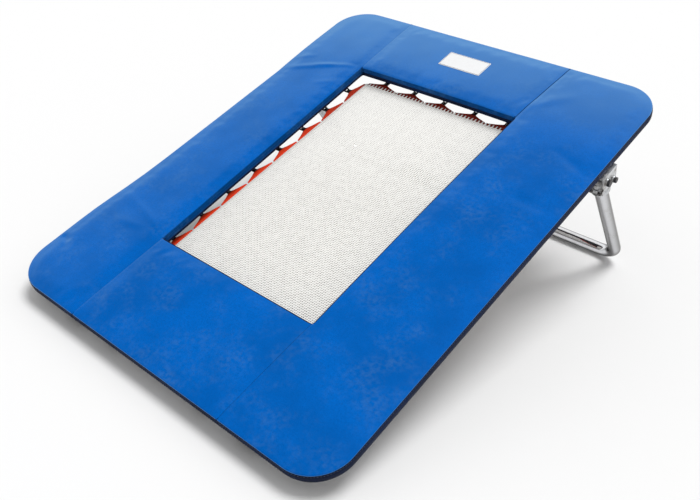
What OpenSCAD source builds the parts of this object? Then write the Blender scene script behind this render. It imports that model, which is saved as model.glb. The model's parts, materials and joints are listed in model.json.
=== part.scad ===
// Sloping take-off trampoline: bent tube frame, sprung woven bed, upholstered
// surround pad and one folding support leg.
// Plane coordinates: X across, Y towards the raised end, Z square to the pad,
// Z = 0 at the pad's edge seam. The stand() module tilts them to the floor.

/* [Frame] */
// Outer diameter of the bent steel tube
tube_d = 33.7; // [30:0.1:36]
// Wall of the bent steel tube
tube_wall = 2.6; // [1.5:0.1:4]
// Width of the frame between tube centres
frame_w = 890; // [854:1:974]
// Length of the frame between tube centres
frame_l = 1246; // [1200:1:1400]
// Bend radius of the frame corners at the tube centre
frame_corner_r = 90; // [70:1:110]

/* [Pad] */
// Overhang of the pad past the tube centres at each long edge
pad_over_side = 55; // [45:0.5:70]
// Overhang of the pad past the tube centres at each short edge
pad_over_end = 37; // [27:0.5:52]
// Thickness of the surround pad at its edge
pad_t = 26; // [20:0.5:34]
// Rise of the pad's top above its edge seam
pad_crown = 2; // [0.5:0.1:5]
// Radius of the pad's outer corners
pad_corner_r = 95; // [60:1:110]
// How far the pad lies to the right of the frame's centre
pad_shift_x = 5; // [0:0.5:8]
// How far the pad lies towards the low end
pad_shift_y = 4; // [0:0.5:8]
// Inward bow of the pad's left long edge
pad_bow = 13; // [0:0.5:16]
// How much narrower the opening is than the bed, at the raised end
open_less_w = -4.5; // [-8:0.5:26]
// How much shorter the opening is than the bed
open_less_l = 5; // [-12:0.5:38]
// How far the opening lies to the left of the pad's centre
open_shift_x = 25.5; // [0:0.5:26]
// How far the opening lies from the pad's centre towards the raised end
open_shift_y = 15; // [0:0.5:20]
// How much narrower the opening is at the low end, on its left side
open_skew = 22; // [0:0.5:26]

/* [Straps and label] */
// Width of each fastening strap
strap_w = 30; // [15:1:34]
// Thickness of the strap webbing
strap_t = 1.5; // [0.8:0.1:2]
// Length of a strap's sewn end under the pad
strap_flange = 14; // [8:0.5:15]
// Width of the blank label patch
label_w = 132; // [80:1:160]
// Height of the blank label patch
label_h = 63; // [40:1:70]
// Thickness of the label patch
label_t = 0.8; // [0.5:0.1:1.5]
// How far the label lies to the left of the pad's centre
label_x = 19; // [0:1:40]
// Distance of the label's middle from the pad's raised edge
label_inset = 110; // [90:1:130]

/* [Bed] */
// Distance from the bed's long edges to the frame tube's centre
bed_inset_side = 192; // [185:0.5:200]
// Distance from the bed's short edges to the frame tube's centre
bed_inset_end = 224; // [216:0.5:233]
// Thickness of the woven bed
bed_t = 3.6; // [2:0.1:5]
// Radius of the bed's corners
bed_corner_r = 10; // [4:1:20]
// Openings across the bed that stand for its mesh
mesh_across = 8; // [4:1:12]
// Openings along the bed that stand for its mesh
mesh_along = 12; // [6:1:12]
// Share of the mesh's spacing that each opening takes up
mesh_share = 0.42; // [0.2:0.01:0.6]
// Closed border round the openings
mesh_edge = 15; // [8:1:30]
// Tabs along each long edge
tabs_side = 8; // [6:1:8]
// Tabs along each short edge
tabs_end = 5; // [4:1:5]
// Space between neighbouring tabs at the bed
tab_gap = 6; // [4:0.5:14]
// Length of a long edge that its row of tabs leaves free
spare_side = 6; // [2:0.5:12]
// Length of a short edge that its row of tabs leaves free
spare_end = 11; // [6:0.5:16]
// Width of a tab at its tip
tab_tip = 18; // [14:0.5:24]
// Height of a tab
tab_h = 29; // [27:0.5:34]
// Thickness of a tab
tab_t = 3; // [1.5:0.1:3.4]
// Distance of the tab's eyelet from the bed
eyelet_x = 20; // [17:0.5:21]

/* [Suspension] */
// Diameter of the rubber cable
cord_d = 8; // [6:0.1:9]
// Diameter of the wire of the links
link_wire_d = 4; // [3:0.1:5]
// Length of a link between its wire centres
link_l = 24; // [22:0.5:32]
// Diameter of the frame pegs
peg_d = 18; // [12:0.5:24]
// Thickness of the plate that carries each peg
peg_arm_t = 4; // [3:0.1:6]
// Overhang of the cap on each peg
peg_lip = 2.5; // [1:0.1:4]
// Thickness of the cap on each peg
peg_cap_t = 2.5; // [1.5:0.1:3.5]
// Space between a cable and the frame tube
peg_space = 3; // [1:0.1:8]

/* [Leg] */
// Distance of the leg's hinge from the raised end of the frame
pivot_inset = 268; // [266:0.1:278]
// Depth of the leg's hinge below the frame tube's centre
pivot_drop = 8.85; // [8.2:0.05:12]
// Length of the leg from its hinge to the floor tube
leg_len = 421; // [374:0.1:474]
// Lean of the opened leg from square, towards the raised end
leg_lean = 20.7; // [14:0.1:26]
// Bend radius of the leg's corners
leg_bend_r = 52; // [46:1:80]
// Length of each rubber sleeve on the floor tube
sleeve_l = 120; // [60:1:180]
// Thickness of the rubber sleeves
sleeve_t = 3; // [2:0.1:5]
// Distance of the sleeves' middles from the centre
sleeve_x = 190; // [150:1:240]

/* [Hinge] */
// Radius of the head on each end of the leg
head_r = 20; // [19.5:0.1:21]
// Length of the head from the hinge to its rim
head_len = 44; // [42:0.5:60]
// Overhang of the head's flared rim
rim_flare = 3.5; // [1.5:0.1:3.8]
// Height of the head's flared rim
rim_h = 6; // [4:0.1:7]
// Depth of the leg tube's end below the hinge
leg_top = 14; // [10:0.5:16]
// Thickness of the hinge bracket's inner cheek
cheek_in_t = 5.5; // [5:0.1:7]
// Thickness of the hinge bracket's outer cheek
cheek_out_t = 3.4; // [3:0.1:6]
// Thickness of the hinge bracket's top plate
bridge_t = 3.5; // [2:0.1:3.8]
// Radius of the cheeks round the hinge bolt
cheek_r = 20; // [16:0.5:24]
// Diameter of the hinge bolt
pivot_d = 10; // [8:0.5:12]
// Diameter of the stop bolt
stop_d = 8; // [6:0.5:10]
// Distance of the stop bolt from the hinge, along the leg
stop_s = 24; // [22:0.5:27]
// Diameter of the head's clamp screws
screw_d = 6; // [4:0.5:7]
// Distance of the clamp screws to each side of the leg's centre
screw_x = 11; // [9.5:0.5:12]
// Distance of the clamp screws from the hinge
screw_s = 27; // [26:0.5:29]

/* [Feet] */
// Height of the rubber feet under the frame tube
foot_h = 11; // [9:0.5:16]
// Length of each rubber foot
foot_l = 60; // [40:1:90]
// Width of each rubber foot
foot_w = 44; // [42:1:50]
// Distance of the feet from the middle
foot_x = 290; // [240:1:310]
// Diameter of the foot screws
foot_screw_d = 6; // [4:0.5:8]

/* [Hidden] */
$fn = 48;
weld_gap = 0.25;   // parts that are welded or sewn lie this close
lay_gap = 0.3;     // parts that rest on one another
run_gap = 0.08;    // radial clearance of the hinge bolt in the head
side_gap = 0.6;    // head to cheek
hub_lip = 0.25;    // how far the hinge hub stands out of the head
cord_gap = 0.45;   // cable to link and peg
screw_clear = 0.3; // a screw's hole is this much wider
cut = 1;           // how far a cut runs past a face
eps = 0.02;
bed_w = frame_w - 2 * bed_inset_side;
bed_l = frame_l - 2 * bed_inset_end;
pad_w = frame_w + 2 * pad_over_side;
pad_l = frame_l + 2 * pad_over_end;
open_w = bed_w - open_less_w;
open_l = bed_l - open_less_l;
tube_r = tube_d / 2;
cord_r = cord_d / 2;
wire_r = link_wire_d / 2;
peg_r = peg_d / 2;
plane_z = -pad_t - lay_gap - tube_r;   // height of tube centres and bed

// pad edges
pad_left = pad_shift_x - pad_w / 2;
pad_right = pad_shift_x + pad_w / 2;
pad_near = -pad_shift_y - pad_l / 2;
pad_far = -pad_shift_y + pad_l / 2;
open_left = pad_shift_x - open_shift_x - open_w / 2;
open_right = pad_shift_x - open_shift_x + open_w / 2;
open_near = -pad_shift_y + open_shift_y - open_l / 2;
open_far = -pad_shift_y + open_shift_y + open_l / 2;
// pad section: inset of outer sides, inset of inner sides, height
seam_gap = lay_gap / 2;
base_in = 4;
base_open_in = 1.2;
base_rise = 2;
side_in = 1;
side_open_in = 0.5;
roll_drop = 1.5;
roll_in = 5;
roll_open_in = 3;
slope_in = 16;
slope_open_in = 10;
flat_in = 40;
flat_open_in = 30;
pad_section = [
    [base_in, base_open_in, -pad_t],
    [side_in, seam_gap, -pad_t + base_rise],
    [0, seam_gap, -pad_t * 0.7],
    [0, seam_gap, -pad_t * 0.3],
    [side_in, side_open_in, -roll_drop],
    [roll_in, roll_open_in, 0],
    [slope_in, slope_open_in, pad_crown * 0.6],
    [flat_in, flat_open_in, pad_crown],
];
arc_steps = 10;
bow_steps = 14;
bow_share = 0.42;  // half the bowed stretch, as a share of the pad's length
label_r = 2;

// suspension: tabs of a side, their number and spacing
function along_side(side) = side == "left" || side == "right";
function tab_count(side) = along_side(side) ? tabs_side : tabs_end;
function tab_pitch(side) =
    (along_side(side) ? bed_l - spare_side : bed_w - spare_end) / tab_count(side);
// half a space more where the number of tabs is odd, so that a strap lies between two hooks
function strap_shift(side) = tab_count(side) % 2 / 2;
reach_side = bed_inset_side - tube_r;
reach_end = bed_inset_end - tube_r;
link_r = cord_r + cord_gap + wire_r;
link_x = eyelet_x + link_l;
bight_in = link_r;
bight_out = peg_r + cord_gap + cord_r;
eyelet_r = wire_r + 0.8;
eyelet_slack = 0.2; // the link pulls to the outer side of the eyelet
arm_top = -cord_r - cord_gap;
bight_steps = 6;    // steps round each end of a cable's loop
cord_sides = 8;

// leg and floor
pivot_y = frame_l / 2 - pivot_inset;
pivot_z = plane_z - pivot_drop;
leg_x = frame_w / 2 + tube_r + lay_gap + cheek_in_t + side_gap + head_r;
floor_y = pivot_y + leg_len * sin(leg_lean);
floor_z = pivot_z - leg_len * cos(leg_lean);
foot_reach = tube_r + foot_h;
span_y = floor_y + frame_l / 2;
span_z = floor_z - plane_z;
incline = asin((tube_r + sleeve_t - foot_reach) / norm([span_y, span_z])) - atan2(span_z, span_y);
lift_z = foot_reach - (-frame_l / 2 * sin(incline) + plane_z * cos(incline));
low_y = min([for (p = pad_section) (pad_near + p[0]) * cos(incline) - p[2] * sin(incline)]);
high_y = max([for (p = pad_section) (pad_far - p[0]) * cos(incline) - p[2] * sin(incline)]);
shift_y = -(low_y + high_y) / 2;

// hinge
cheek_x = frame_w / 2 + tube_r + lay_gap;
cheek_out_x = leg_x + head_r + side_gap;
bridge_z = -pad_t - lay_gap;
bridge_near = 24;  // the top plate's reach from the hinge to each end
bridge_far = 41;
strap_clear = 4;   // least space between a side strap and the bracket
// straps lie midway between two hooks, the outer side ones as near the bracket as they can
strap_room = (pivot_y - bridge_near - strap_w / 2 - strap_clear) / tab_pitch("left");
strap_side_in = tab_pitch("left") * (1 - strap_shift("left"));
strap_side_out = tab_pitch("left")
    * (floor(strap_room - strap_shift("left")) + strap_shift("left"));
strap_end = tab_pitch("far") * (1 + strap_shift("far"));
saddle_t = 3.5;
hex_h = 6;
washer_t = 1.6;
stop_n = head_r + lay_gap + stop_d / 2;
stop_land = 5;     // metal round the stop bolt
// place of the stop bolt in Y and Z from the hinge
stop_place = [
    stop_s * sin(leg_lean) + stop_n * cos(leg_lean),
    -stop_s * cos(leg_lean) + stop_n * sin(leg_lean),
];
hub_step = 2;      // the hub stands this much inside the head's sides
hub_d = 2 * (head_r - hub_step);
// raised flat that carries the clamp screws
boss_rise = 1.5;
boss_n = head_r + boss_rise;
boss_land = 8;     // metal round each clamp screw
boss_w = 2 * (screw_x + boss_land);
boss_h = 2 * boss_land;
screw_tip = 8;     // the clamp screws end this far from the leg's axis
screw_head_h = 3.5;

// feet
foot_bevel = 3;
foot_lip_t = 4;    // rubber beside the tube
foot_lip_top = -3; // its top, from the tube's centre
foot_screw_head_h = 4;
foot_screw_out = 3; // how far a foot screw's tip stands into the tube
foot_well_d = 2.6 * foot_screw_d;

// ---------- places ----------
module stand() {
    translate([0, shift_y, lift_z]) rotate([incline, 0, 0]) children();
}

module leg_place() {
    stand() translate([0, pivot_y, pivot_z]) rotate([leg_lean, 0, 0]) children();
}

module both_sides() {
    children();
    mirror([1, 0, 0]) children();
}

// one copy at each tab of a side, with X pointing out from the bed's edge
module at_tabs(side) {
    for (i = [0 : tab_count(side) - 1]) {
        along = (i - (tab_count(side) - 1) / 2) * tab_pitch(side);
        if (side == "right") translate([bed_w / 2, along, plane_z]) children();
        if (side == "left") translate([-bed_w / 2, along, plane_z]) rotate([0, 0, 180]) children();
        if (side == "far") translate([along, bed_l / 2, plane_z]) rotate([0, 0, 90]) children();
        if (side == "near") translate([along, -bed_l / 2, plane_z]) rotate([0, 0, -90]) children();
    }
}

function reach(side) = along_side(side) ? reach_side : reach_end;

// a bar of round section along X
module x_rod(d, x0, x1) {
    translate([x0, 0, 0]) rotate([0, 90, 0]) cylinder(d = d, h = x1 - x0);
}

// a flat outline drawn in Y and Z, made solid from x0 to x1
module x_plate(x0, x1) {
    translate([x0, 0, 0]) rotate([90, 0, 90]) linear_extrude(x1 - x0) children();
}

// ---------- frame ----------
module frame_ring(d) {
    sx = frame_w / 2;
    sy = frame_l / 2;
    r = frame_corner_r;
    for (s = [-1, 1]) {
        translate([s * sx, -sy + r, 0]) rotate([-90, 0, 0]) cylinder(d = d, h = 2 * (sy - r));
        translate([-sx + r, s * sy, 0]) rotate([0, 90, 0]) cylinder(d = d, h = 2 * (sx - r));
    }
    for (q = [[1, 1, 0], [-1, 1, 90], [-1, -1, 180], [1, -1, 270]])
        translate([q[0] * (sx - r), q[1] * (sy - r), 0]) rotate([0, 0, q[2]])
            rotate_extrude(angle = 90) translate([r, 0]) circle(d = d);
}

// places of the feet, with Z square to the floor
module at_foot(side) {
    translate([side * foot_x, -frame_l / 2, plane_z]) rotate([-incline, 0, 0]) children();
}

module frame_tube() {
    color("silver") stand() difference() {
        translate([0, 0, plane_z]) frame_ring(tube_d);
        translate([0, 0, plane_z]) frame_ring(tube_d - 2 * tube_wall);
        for (s = [-1, 1]) at_foot(s)
            translate([0, 0, -tube_r - cut])
                cylinder(d = foot_screw_d + screw_clear, h = tube_wall + 2 * cut);
    }
}

// peg on a plate that is welded to the inside of the frame tube
module frame_hooks(side) {
    peg_x = reach(side) - peg_space - cord_r - bight_out;
    color("dimgray") stand() at_tabs(side) {
        difference() {
            union() {
                translate([peg_x, -peg_r, arm_top - peg_arm_t])
                    cube([reach(side) + tube_r - peg_x, peg_d, peg_arm_t]);
                translate([peg_x, 0, arm_top - peg_arm_t]) cylinder(r = peg_r, h = peg_arm_t);
            }
            translate([reach(side) + tube_r, 0, 0]) rotate([90, 0, 0])
                cylinder(r = tube_r + weld_gap, h = 4 * peg_d, center = true);
        }
        translate([peg_x, 0, arm_top]) cylinder(r = peg_r, h = -2 * arm_top);
        translate([peg_x, 0, -arm_top]) cylinder(r = peg_r + peg_lip, h = peg_cap_t);
    }
}

// ---------- hinge ----------
module cheek_outline() {
    top = bridge_z - pivot_z;
    stop_r = stop_d / 2 + stop_land;
    circle(r = cheek_r);
    translate(stop_place) circle(r = stop_r);
    polygon([
        [-bridge_near, top],
        [-bridge_near, 0],
        [-cheek_r * sin(leg_lean), -cheek_r * cos(leg_lean)],
        [stop_place[0], stop_place[1] - stop_r],
        [bridge_far, stop_place[1]],
        [bridge_far, top],
    ]);
}

// saddle that hugs the outer half of the frame tube, seen along the tube
module saddle_outline() {
    difference() {
        circle(r = tube_r + weld_gap + saddle_t);
        circle(r = tube_r + weld_gap);
        translate([-2 * tube_d + tube_r / 2, -tube_d]) square([2 * tube_d, 2 * tube_d]);
        translate([0, bridge_z - plane_z]) square([tube_d, tube_d]);
    }
}

module hinge_bracket() {
    difference() {
        union() {
            translate([0, pivot_y, pivot_z]) {
                x_plate(cheek_x, cheek_x + cheek_in_t) cheek_outline();
                x_plate(cheek_out_x, cheek_out_x + cheek_out_t) cheek_outline();
                translate([cheek_x, -bridge_near, bridge_z - pivot_z - bridge_t])
                    cube([cheek_out_x + cheek_out_t - cheek_x, bridge_near + bridge_far, bridge_t]);
            }
            translate([frame_w / 2, pivot_y + bridge_far, plane_z]) rotate([90, 0, 0])
                linear_extrude(bridge_near + bridge_far) saddle_outline();
        }
        translate([0, pivot_y, pivot_z]) {
            x_rod(pivot_d + 2 * run_gap, cheek_x, cheek_out_x + 2 * cheek_out_t);
            translate([0, stop_place[0], stop_place[1]])
                x_rod(stop_d + 2 * run_gap, cheek_x, cheek_out_x + 2 * cheek_out_t);
        }
    }
}

module hinge_bracket_right() {
    color("silver") stand() hinge_bracket();
}

module hinge_bracket_left() {
    color("silver") stand() mirror([1, 0, 0]) hinge_bracket();
}

module bolt(d) {
    x_rod(d, cheek_x + weld_gap, cheek_out_x + cheek_out_t + washer_t + weld_gap);
    translate([cheek_out_x + cheek_out_t + washer_t + weld_gap, 0, 0]) rotate([0, 90, 0])
        cylinder(d = 1.9 * d, h = hex_h, $fn = 6);
}

module washer(d) {
    difference() {
        x_rod(2.1 * d, cheek_out_x + cheek_out_t + eps, cheek_out_x + cheek_out_t + washer_t);
        x_rod(d + 2 * run_gap, cheek_out_x, cheek_out_x + cheek_out_t + 2 * washer_t);
    }
}

module hinge_bolts() {
    color("dimgray") stand() both_sides() translate([0, pivot_y, pivot_z]) bolt(pivot_d);
}

module stop_bolts() {
    color("dimgray") stand() both_sides()
        translate([0, pivot_y + stop_place[0], pivot_z + stop_place[1]]) bolt(stop_d);
}

module hinge_washers() {
    color("silver") stand() both_sides() translate([0, pivot_y, pivot_z]) {
        washer(pivot_d);
        translate([0, stop_place[0], stop_place[1]]) washer(stop_d);
    }
}

// ---------- feet ----------
module rubber_foot(side) {
    low = -foot_reach;
    head_room = foot_h / 2;
    lip = tube_r + foot_lip_t;
    color([0.1, 0.1, 0.1]) stand() at_foot(side) difference() {
        x_plate(-foot_l / 2, foot_l / 2) difference() {
            polygon([
                [-foot_w / 2 + foot_bevel, low],
                [foot_w / 2 - foot_bevel, low],
                [foot_w / 2, low + foot_bevel],
                [lip + foot_bevel / 3, foot_lip_top - foot_bevel],
                [lip, foot_lip_top],
                [-lip, foot_lip_top],
                [-lip - foot_bevel / 3, foot_lip_top - foot_bevel],
                [-foot_w / 2, low + foot_bevel],
            ]);
            circle(r = tube_r + weld_gap);
        }
        translate([0, 0, low - cut])
            cylinder(d = foot_screw_d + 2 * screw_clear, h = foot_reach);
        translate([0, 0, low - cut]) cylinder(d = foot_well_d, h = head_room + cut);
    }
}

module rubber_foot_left() { rubber_foot(-1); }

module rubber_foot_right() { rubber_foot(1); }

module foot_screws() {
    seat = -foot_reach + foot_h / 2 - weld_gap;
    tip = -tube_r + tube_wall + foot_screw_out;
    color("silver") stand() for (s = [-1, 1]) at_foot(s) {
        translate([0, 0, seat - foot_screw_head_h])
            cylinder(d = 2 * foot_screw_d, h = foot_screw_head_h);
        translate([0, 0, seat]) cylinder(d = foot_screw_d, h = tip - seat);
    }
}

// ---------- leg ----------
module leg_bar(d) {
    low = leg_len - leg_bend_r;
    both_sides() {
        translate([leg_x, 0, -low]) cylinder(d = d, h = low - leg_top);
        translate([leg_x - leg_bend_r, 0, -low]) rotate([-90, 0, 0])
            rotate_extrude(angle = 90) translate([leg_bend_r, 0]) circle(d = d);
    }
    translate([0, 0, -leg_len]) x_rod(d, -leg_x + leg_bend_r, leg_x - leg_bend_r);
}

// row of clamp screws on the side of the head that faces the low end
module at_screws() {
    for (s = [-1, 1]) translate([leg_x + s * screw_x, 0, -screw_s]) rotate([90, 0, 0]) children();
}

module u_leg() {
    color("silver") leg_place() difference() {
        leg_bar(tube_d);
        leg_bar(tube_d - 2 * tube_wall);
        both_sides() {
            translate([leg_x, 0, -leg_top - cut / 2]) cylinder(d = tube_d - 2 * tube_wall, h = cut);
            at_screws() cylinder(d = screw_d + screw_clear, h = tube_r);
        }
    }
}

module leg_head() {
    inner = tube_r + weld_gap;
    difference() {
        union() {
            translate([leg_x, 0, -head_len]) cylinder(r = head_r, h = head_len);
            x_rod(hub_d, leg_x - head_r - hub_lip, leg_x + head_r + hub_lip);
            translate([leg_x, 0, -head_len]) rotate_extrude() polygon([
                [head_r - cut, 0],
                [head_r + rim_flare, 0],
                [head_r + rim_flare, rim_h * 0.4],
                [head_r, rim_h],
                [head_r - cut, rim_h],
            ]);
            translate([leg_x - boss_w / 2, -boss_n, -screw_s - boss_h / 2])
                cube([boss_w, boss_n, boss_h]);
        }
        translate([leg_x, 0, -head_len - cut])
            cylinder(r = inner, h = head_len + cut - leg_top + weld_gap);
        x_rod(pivot_d + 2 * run_gap, leg_x - 2 * head_r, leg_x + 2 * head_r);
        at_screws() cylinder(d = screw_d + screw_clear, h = 2 * head_r);
    }
}

module leg_head_right() {
    color("gray") leg_place() leg_head();
}

module leg_head_left() {
    color("gray") leg_place() mirror([1, 0, 0]) leg_head();
}

module clamp_screws() {
    color("black") leg_place() both_sides() at_screws() {
        translate([0, 0, screw_tip]) cylinder(d = screw_d, h = boss_n - screw_tip + weld_gap);
        translate([0, 0, boss_n + weld_gap]) cylinder(d = 1.7 * screw_d, h = screw_head_h);
    }
}

module floor_sleeves() {
    color([0.1, 0.1, 0.1]) leg_place() translate([0, 0, -leg_len]) both_sides() difference() {
        x_rod(tube_d + 2 * sleeve_t, sleeve_x - sleeve_l / 2, sleeve_x + sleeve_l / 2);
        x_rod(tube_d + 2 * weld_gap, sleeve_x - sleeve_l, sleeve_x + sleeve_l);
    }
}

// ---------- bed ----------
module bed() {
    sx = bed_w / 2 - bed_corner_r;
    sy = bed_l / 2 - bed_corner_r;
    pitch_x = (bed_w - 2 * mesh_edge) / mesh_across;
    pitch_y = (bed_l - 2 * mesh_edge) / mesh_along;
    color("white") stand() translate([0, 0, plane_z - bed_t / 2]) linear_extrude(bed_t)
        difference() {
            union() {
                square([2 * sx, bed_l], center = true);
                square([bed_w, 2 * sy], center = true);
                for (x = [-sx, sx], y = [-sy, sy]) translate([x, y]) circle(r = bed_corner_r);
            }
            for (i = [0 : mesh_across - 1], j = [0 : mesh_along - 1])
                translate([
                    (i - (mesh_across - 1) / 2) * pitch_x,
                    (j - (mesh_along - 1) / 2) * pitch_y,
                ])
                    square([mesh_share * pitch_x, mesh_share * pitch_y], center = true);
        }
}

module bed_tabs(side) {
    tab_w = tab_pitch(side) - tab_gap;
    color("orangered") stand() at_tabs(side)
        translate([0, 0, -tab_t / 2]) linear_extrude(tab_t) difference() {
            polygon([
                [lay_gap, -tab_w / 2],
                [tab_h, -tab_tip / 2],
                [tab_h, tab_tip / 2],
                [lay_gap, tab_w / 2],
            ]);
            translate([eyelet_x - eyelet_slack, 0]) circle(r = eyelet_r);
        }
}

// ---------- suspension ----------
// wire link, standing on edge, through the tab's eyelet and round the cable
module tab_links(side) {
    color("black") stand() at_tabs(side) rotate([90, 0, 0]) {
        translate([eyelet_x + link_r, 0, 0]) rotate([0, 0, 90])
            rotate_extrude(angle = 180) translate([link_r, 0]) circle(r = wire_r);
        translate([link_x - link_r, 0, 0]) rotate([0, 0, -90])
            rotate_extrude(angle = 180) translate([link_r, 0]) circle(r = wire_r);
        for (s = [-1, 1]) translate([0, s * link_r, 0])
            x_rod(link_wire_d, eyelet_x + link_r, link_x - link_r);
    }
}

// closed loop of rubber cable: a small bight round the link, a large one round the peg
module rubber_cables(side) {
    peg_x = reach(side) - peg_space - cord_r - bight_out;
    spread = asin((bight_out - bight_in) / (peg_x - link_x));
    // each stop is a bight's centre, its radius and a direction from it
    stops = [
        for (i = [0 : bight_steps])
            [link_x, bight_in, 90 + spread + (180 - 2 * spread) * i / bight_steps],
        for (i = [0 : bight_steps])
            [peg_x, bight_out, -90 - spread + (180 + 2 * spread) * i / bight_steps],
    ];
    count = len(stops);
    points = [
        for (s = stops) for (j = [0 : cord_sides - 1])
            let (turn = 360 * j / cord_sides, r = s[1] + cord_r * cos(turn))
            [s[0] + r * cos(s[2]), r * sin(s[2]), cord_r * sin(turn)]
    ];
    faces = [
        for (i = [0 : count - 1]) for (j = [0 : cord_sides - 1])
            let (
                a = i * cord_sides, b = (i + 1) % count * cord_sides,
                k = (j + 1) % cord_sides
            )
            each [[a + j, a + k, b + k], [a + j, b + k, b + j]]
    ];
    color([0.12, 0.12, 0.12]) stand() at_tabs(side) polyhedron(points, faces, convexity = 4);
}

// ---------- pad ----------
// ring of points of a rail panel: outer edge at x = 0, inner edge at x = w
function bowed(p, w, bow) =
    let (t = (p[1] - pad_l / 2) / (pad_l * bow_share))
    [p[0] + (abs(t) < 1 ? bow * pow(cos(90 * t), 2) * (1 - p[0] / w) : 0), p[1]];

// the inner edge slants by the skew beside the opening
function rail_ring(w, bow, skew, out, in) =
    let (r = pad_corner_r - out, c = pad_corner_r, far = pad_l - pad_corner_r) [
        [w + skew - in, out],
        if (skew > 0) [w + skew - in, open_near - pad_near],
        if (skew > 0) [w - in, open_far - pad_near],
        [w - in, pad_l - out],
        for (i = [0 : arc_steps])
            [c + r * cos(90 + 90 * i / arc_steps), far + r * sin(90 + 90 * i / arc_steps)],
        for (i = [1 : bow_steps - 1])
            bowed([out, far - (far - c) * i / bow_steps], w, bow),
        for (i = [0 : arc_steps])
            [c + r * cos(180 + 90 * i / arc_steps), c + r * sin(180 + 90 * i / arc_steps)],
    ];

function end_ring(w, l, out, in) = [
    [in, in],
    [w - in, in],
    [w - in, l - out],
    [in, l - out],
];

// a closed skin over a stack of rings with equal counts, lowest first
module skin(rings, heights) {
    n = len(rings[0]);
    top = len(rings) - 1;
    points = [for (k = [0 : top]) for (p = rings[k]) [p[0], p[1], heights[k]]];
    sides = [
        for (k = [0 : top - 1]) for (i = [0 : n - 1])
            let (j = (i + 1) % n, a = k * n, b = (k + 1) * n)
            each [[a + i, b + i, b + j], [a + i, b + j, a + j]]
    ];
    polyhedron(points, concat([[for (i = [0 : n - 1]) i]], sides,
        [[for (i = [n - 1 : -1 : 0]) top * n + i]]), convexity = 4);
}

module rail_panel(w, bow, skew) {
    rings = [for (p = pad_section) rail_ring(w, bow, skew, p[0], p[1])];
    skin(rings, [for (p = pad_section) p[2]]);
}

module end_panel(w, l) {
    skin([for (p = pad_section) end_ring(w, l, p[0], p[1])], [for (p = pad_section) p[2]]);
}

module pad_left() {
    color("royalblue") stand() translate([pad_left, pad_near, 0])
        rail_panel(open_left - pad_left, pad_bow, open_skew);
}

module pad_right() {
    color("royalblue") stand() translate([pad_right, pad_near, 0]) mirror([1, 0, 0])
        rail_panel(pad_right - open_right, 0, 0);
}

module pad_far() {
    color("royalblue") stand() translate([open_left, open_far, 0])
        end_panel(open_w, pad_far - open_far);
}

module pad_near() {
    color("royalblue") stand() translate([open_left + open_skew, open_near, 0]) mirror([0, 1, 0])
        end_panel(open_w - open_skew, open_near - pad_near);
}

// strap round a tube that runs along X, with its ends sewn under the pad
module strap() {
    inner = tube_r + lay_gap;
    outer = inner + strap_t;
    top = tube_r + lay_gap / 2;
    translate([0, 0, plane_z]) x_plate(-strap_w / 2, strap_w / 2) {
        difference() {
            circle(r = outer);
            circle(r = inner);
            translate([-outer - cut, 0]) square([2 * (outer + cut), outer + cut]);
        }
        for (s = [0, 1]) mirror([s, 0]) {
            translate([inner, -eps]) square([strap_t, top + eps]);
            translate([inner, top - strap_t]) square([strap_flange, strap_t]);
        }
    }
}

module pad_straps() {
    color([0.1, 0.1, 0.1]) stand() {
        for (s = [-1, 1], y = [-strap_side_out, -strap_side_in, strap_side_in, strap_side_out])
            translate([s * frame_w / 2, y, 0]) rotate([0, 0, 90]) strap();
        for (s = [-1, 1], x = [-strap_end, strap_end])
            translate([x, s * frame_l / 2, 0]) strap();
    }
}

module label_patch() {
    sx = label_w / 2 - label_r;
    sy = label_h / 2 - label_r;
    color("white") stand()
        translate([pad_shift_x - label_x, pad_far - label_inset, pad_crown + seam_gap])
            linear_extrude(label_t) {
                square([label_w, 2 * sy], center = true);
                square([2 * sx, label_h], center = true);
                for (x = [-sx, sx], y = [-sy, sy]) translate([x, y]) circle(r = label_r);
            }
}

frame_tube();
frame_hooks("left");  // frame_hooks_left
frame_hooks("right");  // frame_hooks_right
frame_hooks("far");  // frame_hooks_far
frame_hooks("near");  // frame_hooks_near
hinge_bracket_left();
hinge_bracket_right();
hinge_bolts();
stop_bolts();
hinge_washers();
rubber_foot_left();
rubber_foot_right();
foot_screws();
u_leg();
leg_head_left();
leg_head_right();
clamp_screws();
floor_sleeves();
bed();
bed_tabs("left");  // bed_tabs_left
bed_tabs("right");  // bed_tabs_right
bed_tabs("far");  // bed_tabs_far
bed_tabs("near");  // bed_tabs_near
tab_links("left");  // tab_links_left
tab_links("right");  // tab_links_right
tab_links("far");  // tab_links_far
tab_links("near");  // tab_links_near
rubber_cables("left");  // rubber_cables_left
rubber_cables("right");  // rubber_cables_right
rubber_cables("far");  // rubber_cables_far
rubber_cables("near");  // rubber_cables_near
pad_left();
pad_right();
pad_far();
pad_near();
pad_straps();
label_patch();
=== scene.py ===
"""Sloping take-off trampoline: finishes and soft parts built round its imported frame."""

import json
import math

import bmesh
import bpy
import numpy as np
from bpy.props import FloatProperty, FloatVectorProperty, IntProperty, PointerProperty
from mathutils import Matrix, Vector, geometry, noise
from mathutils.bvhtree import BVHTree


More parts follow.
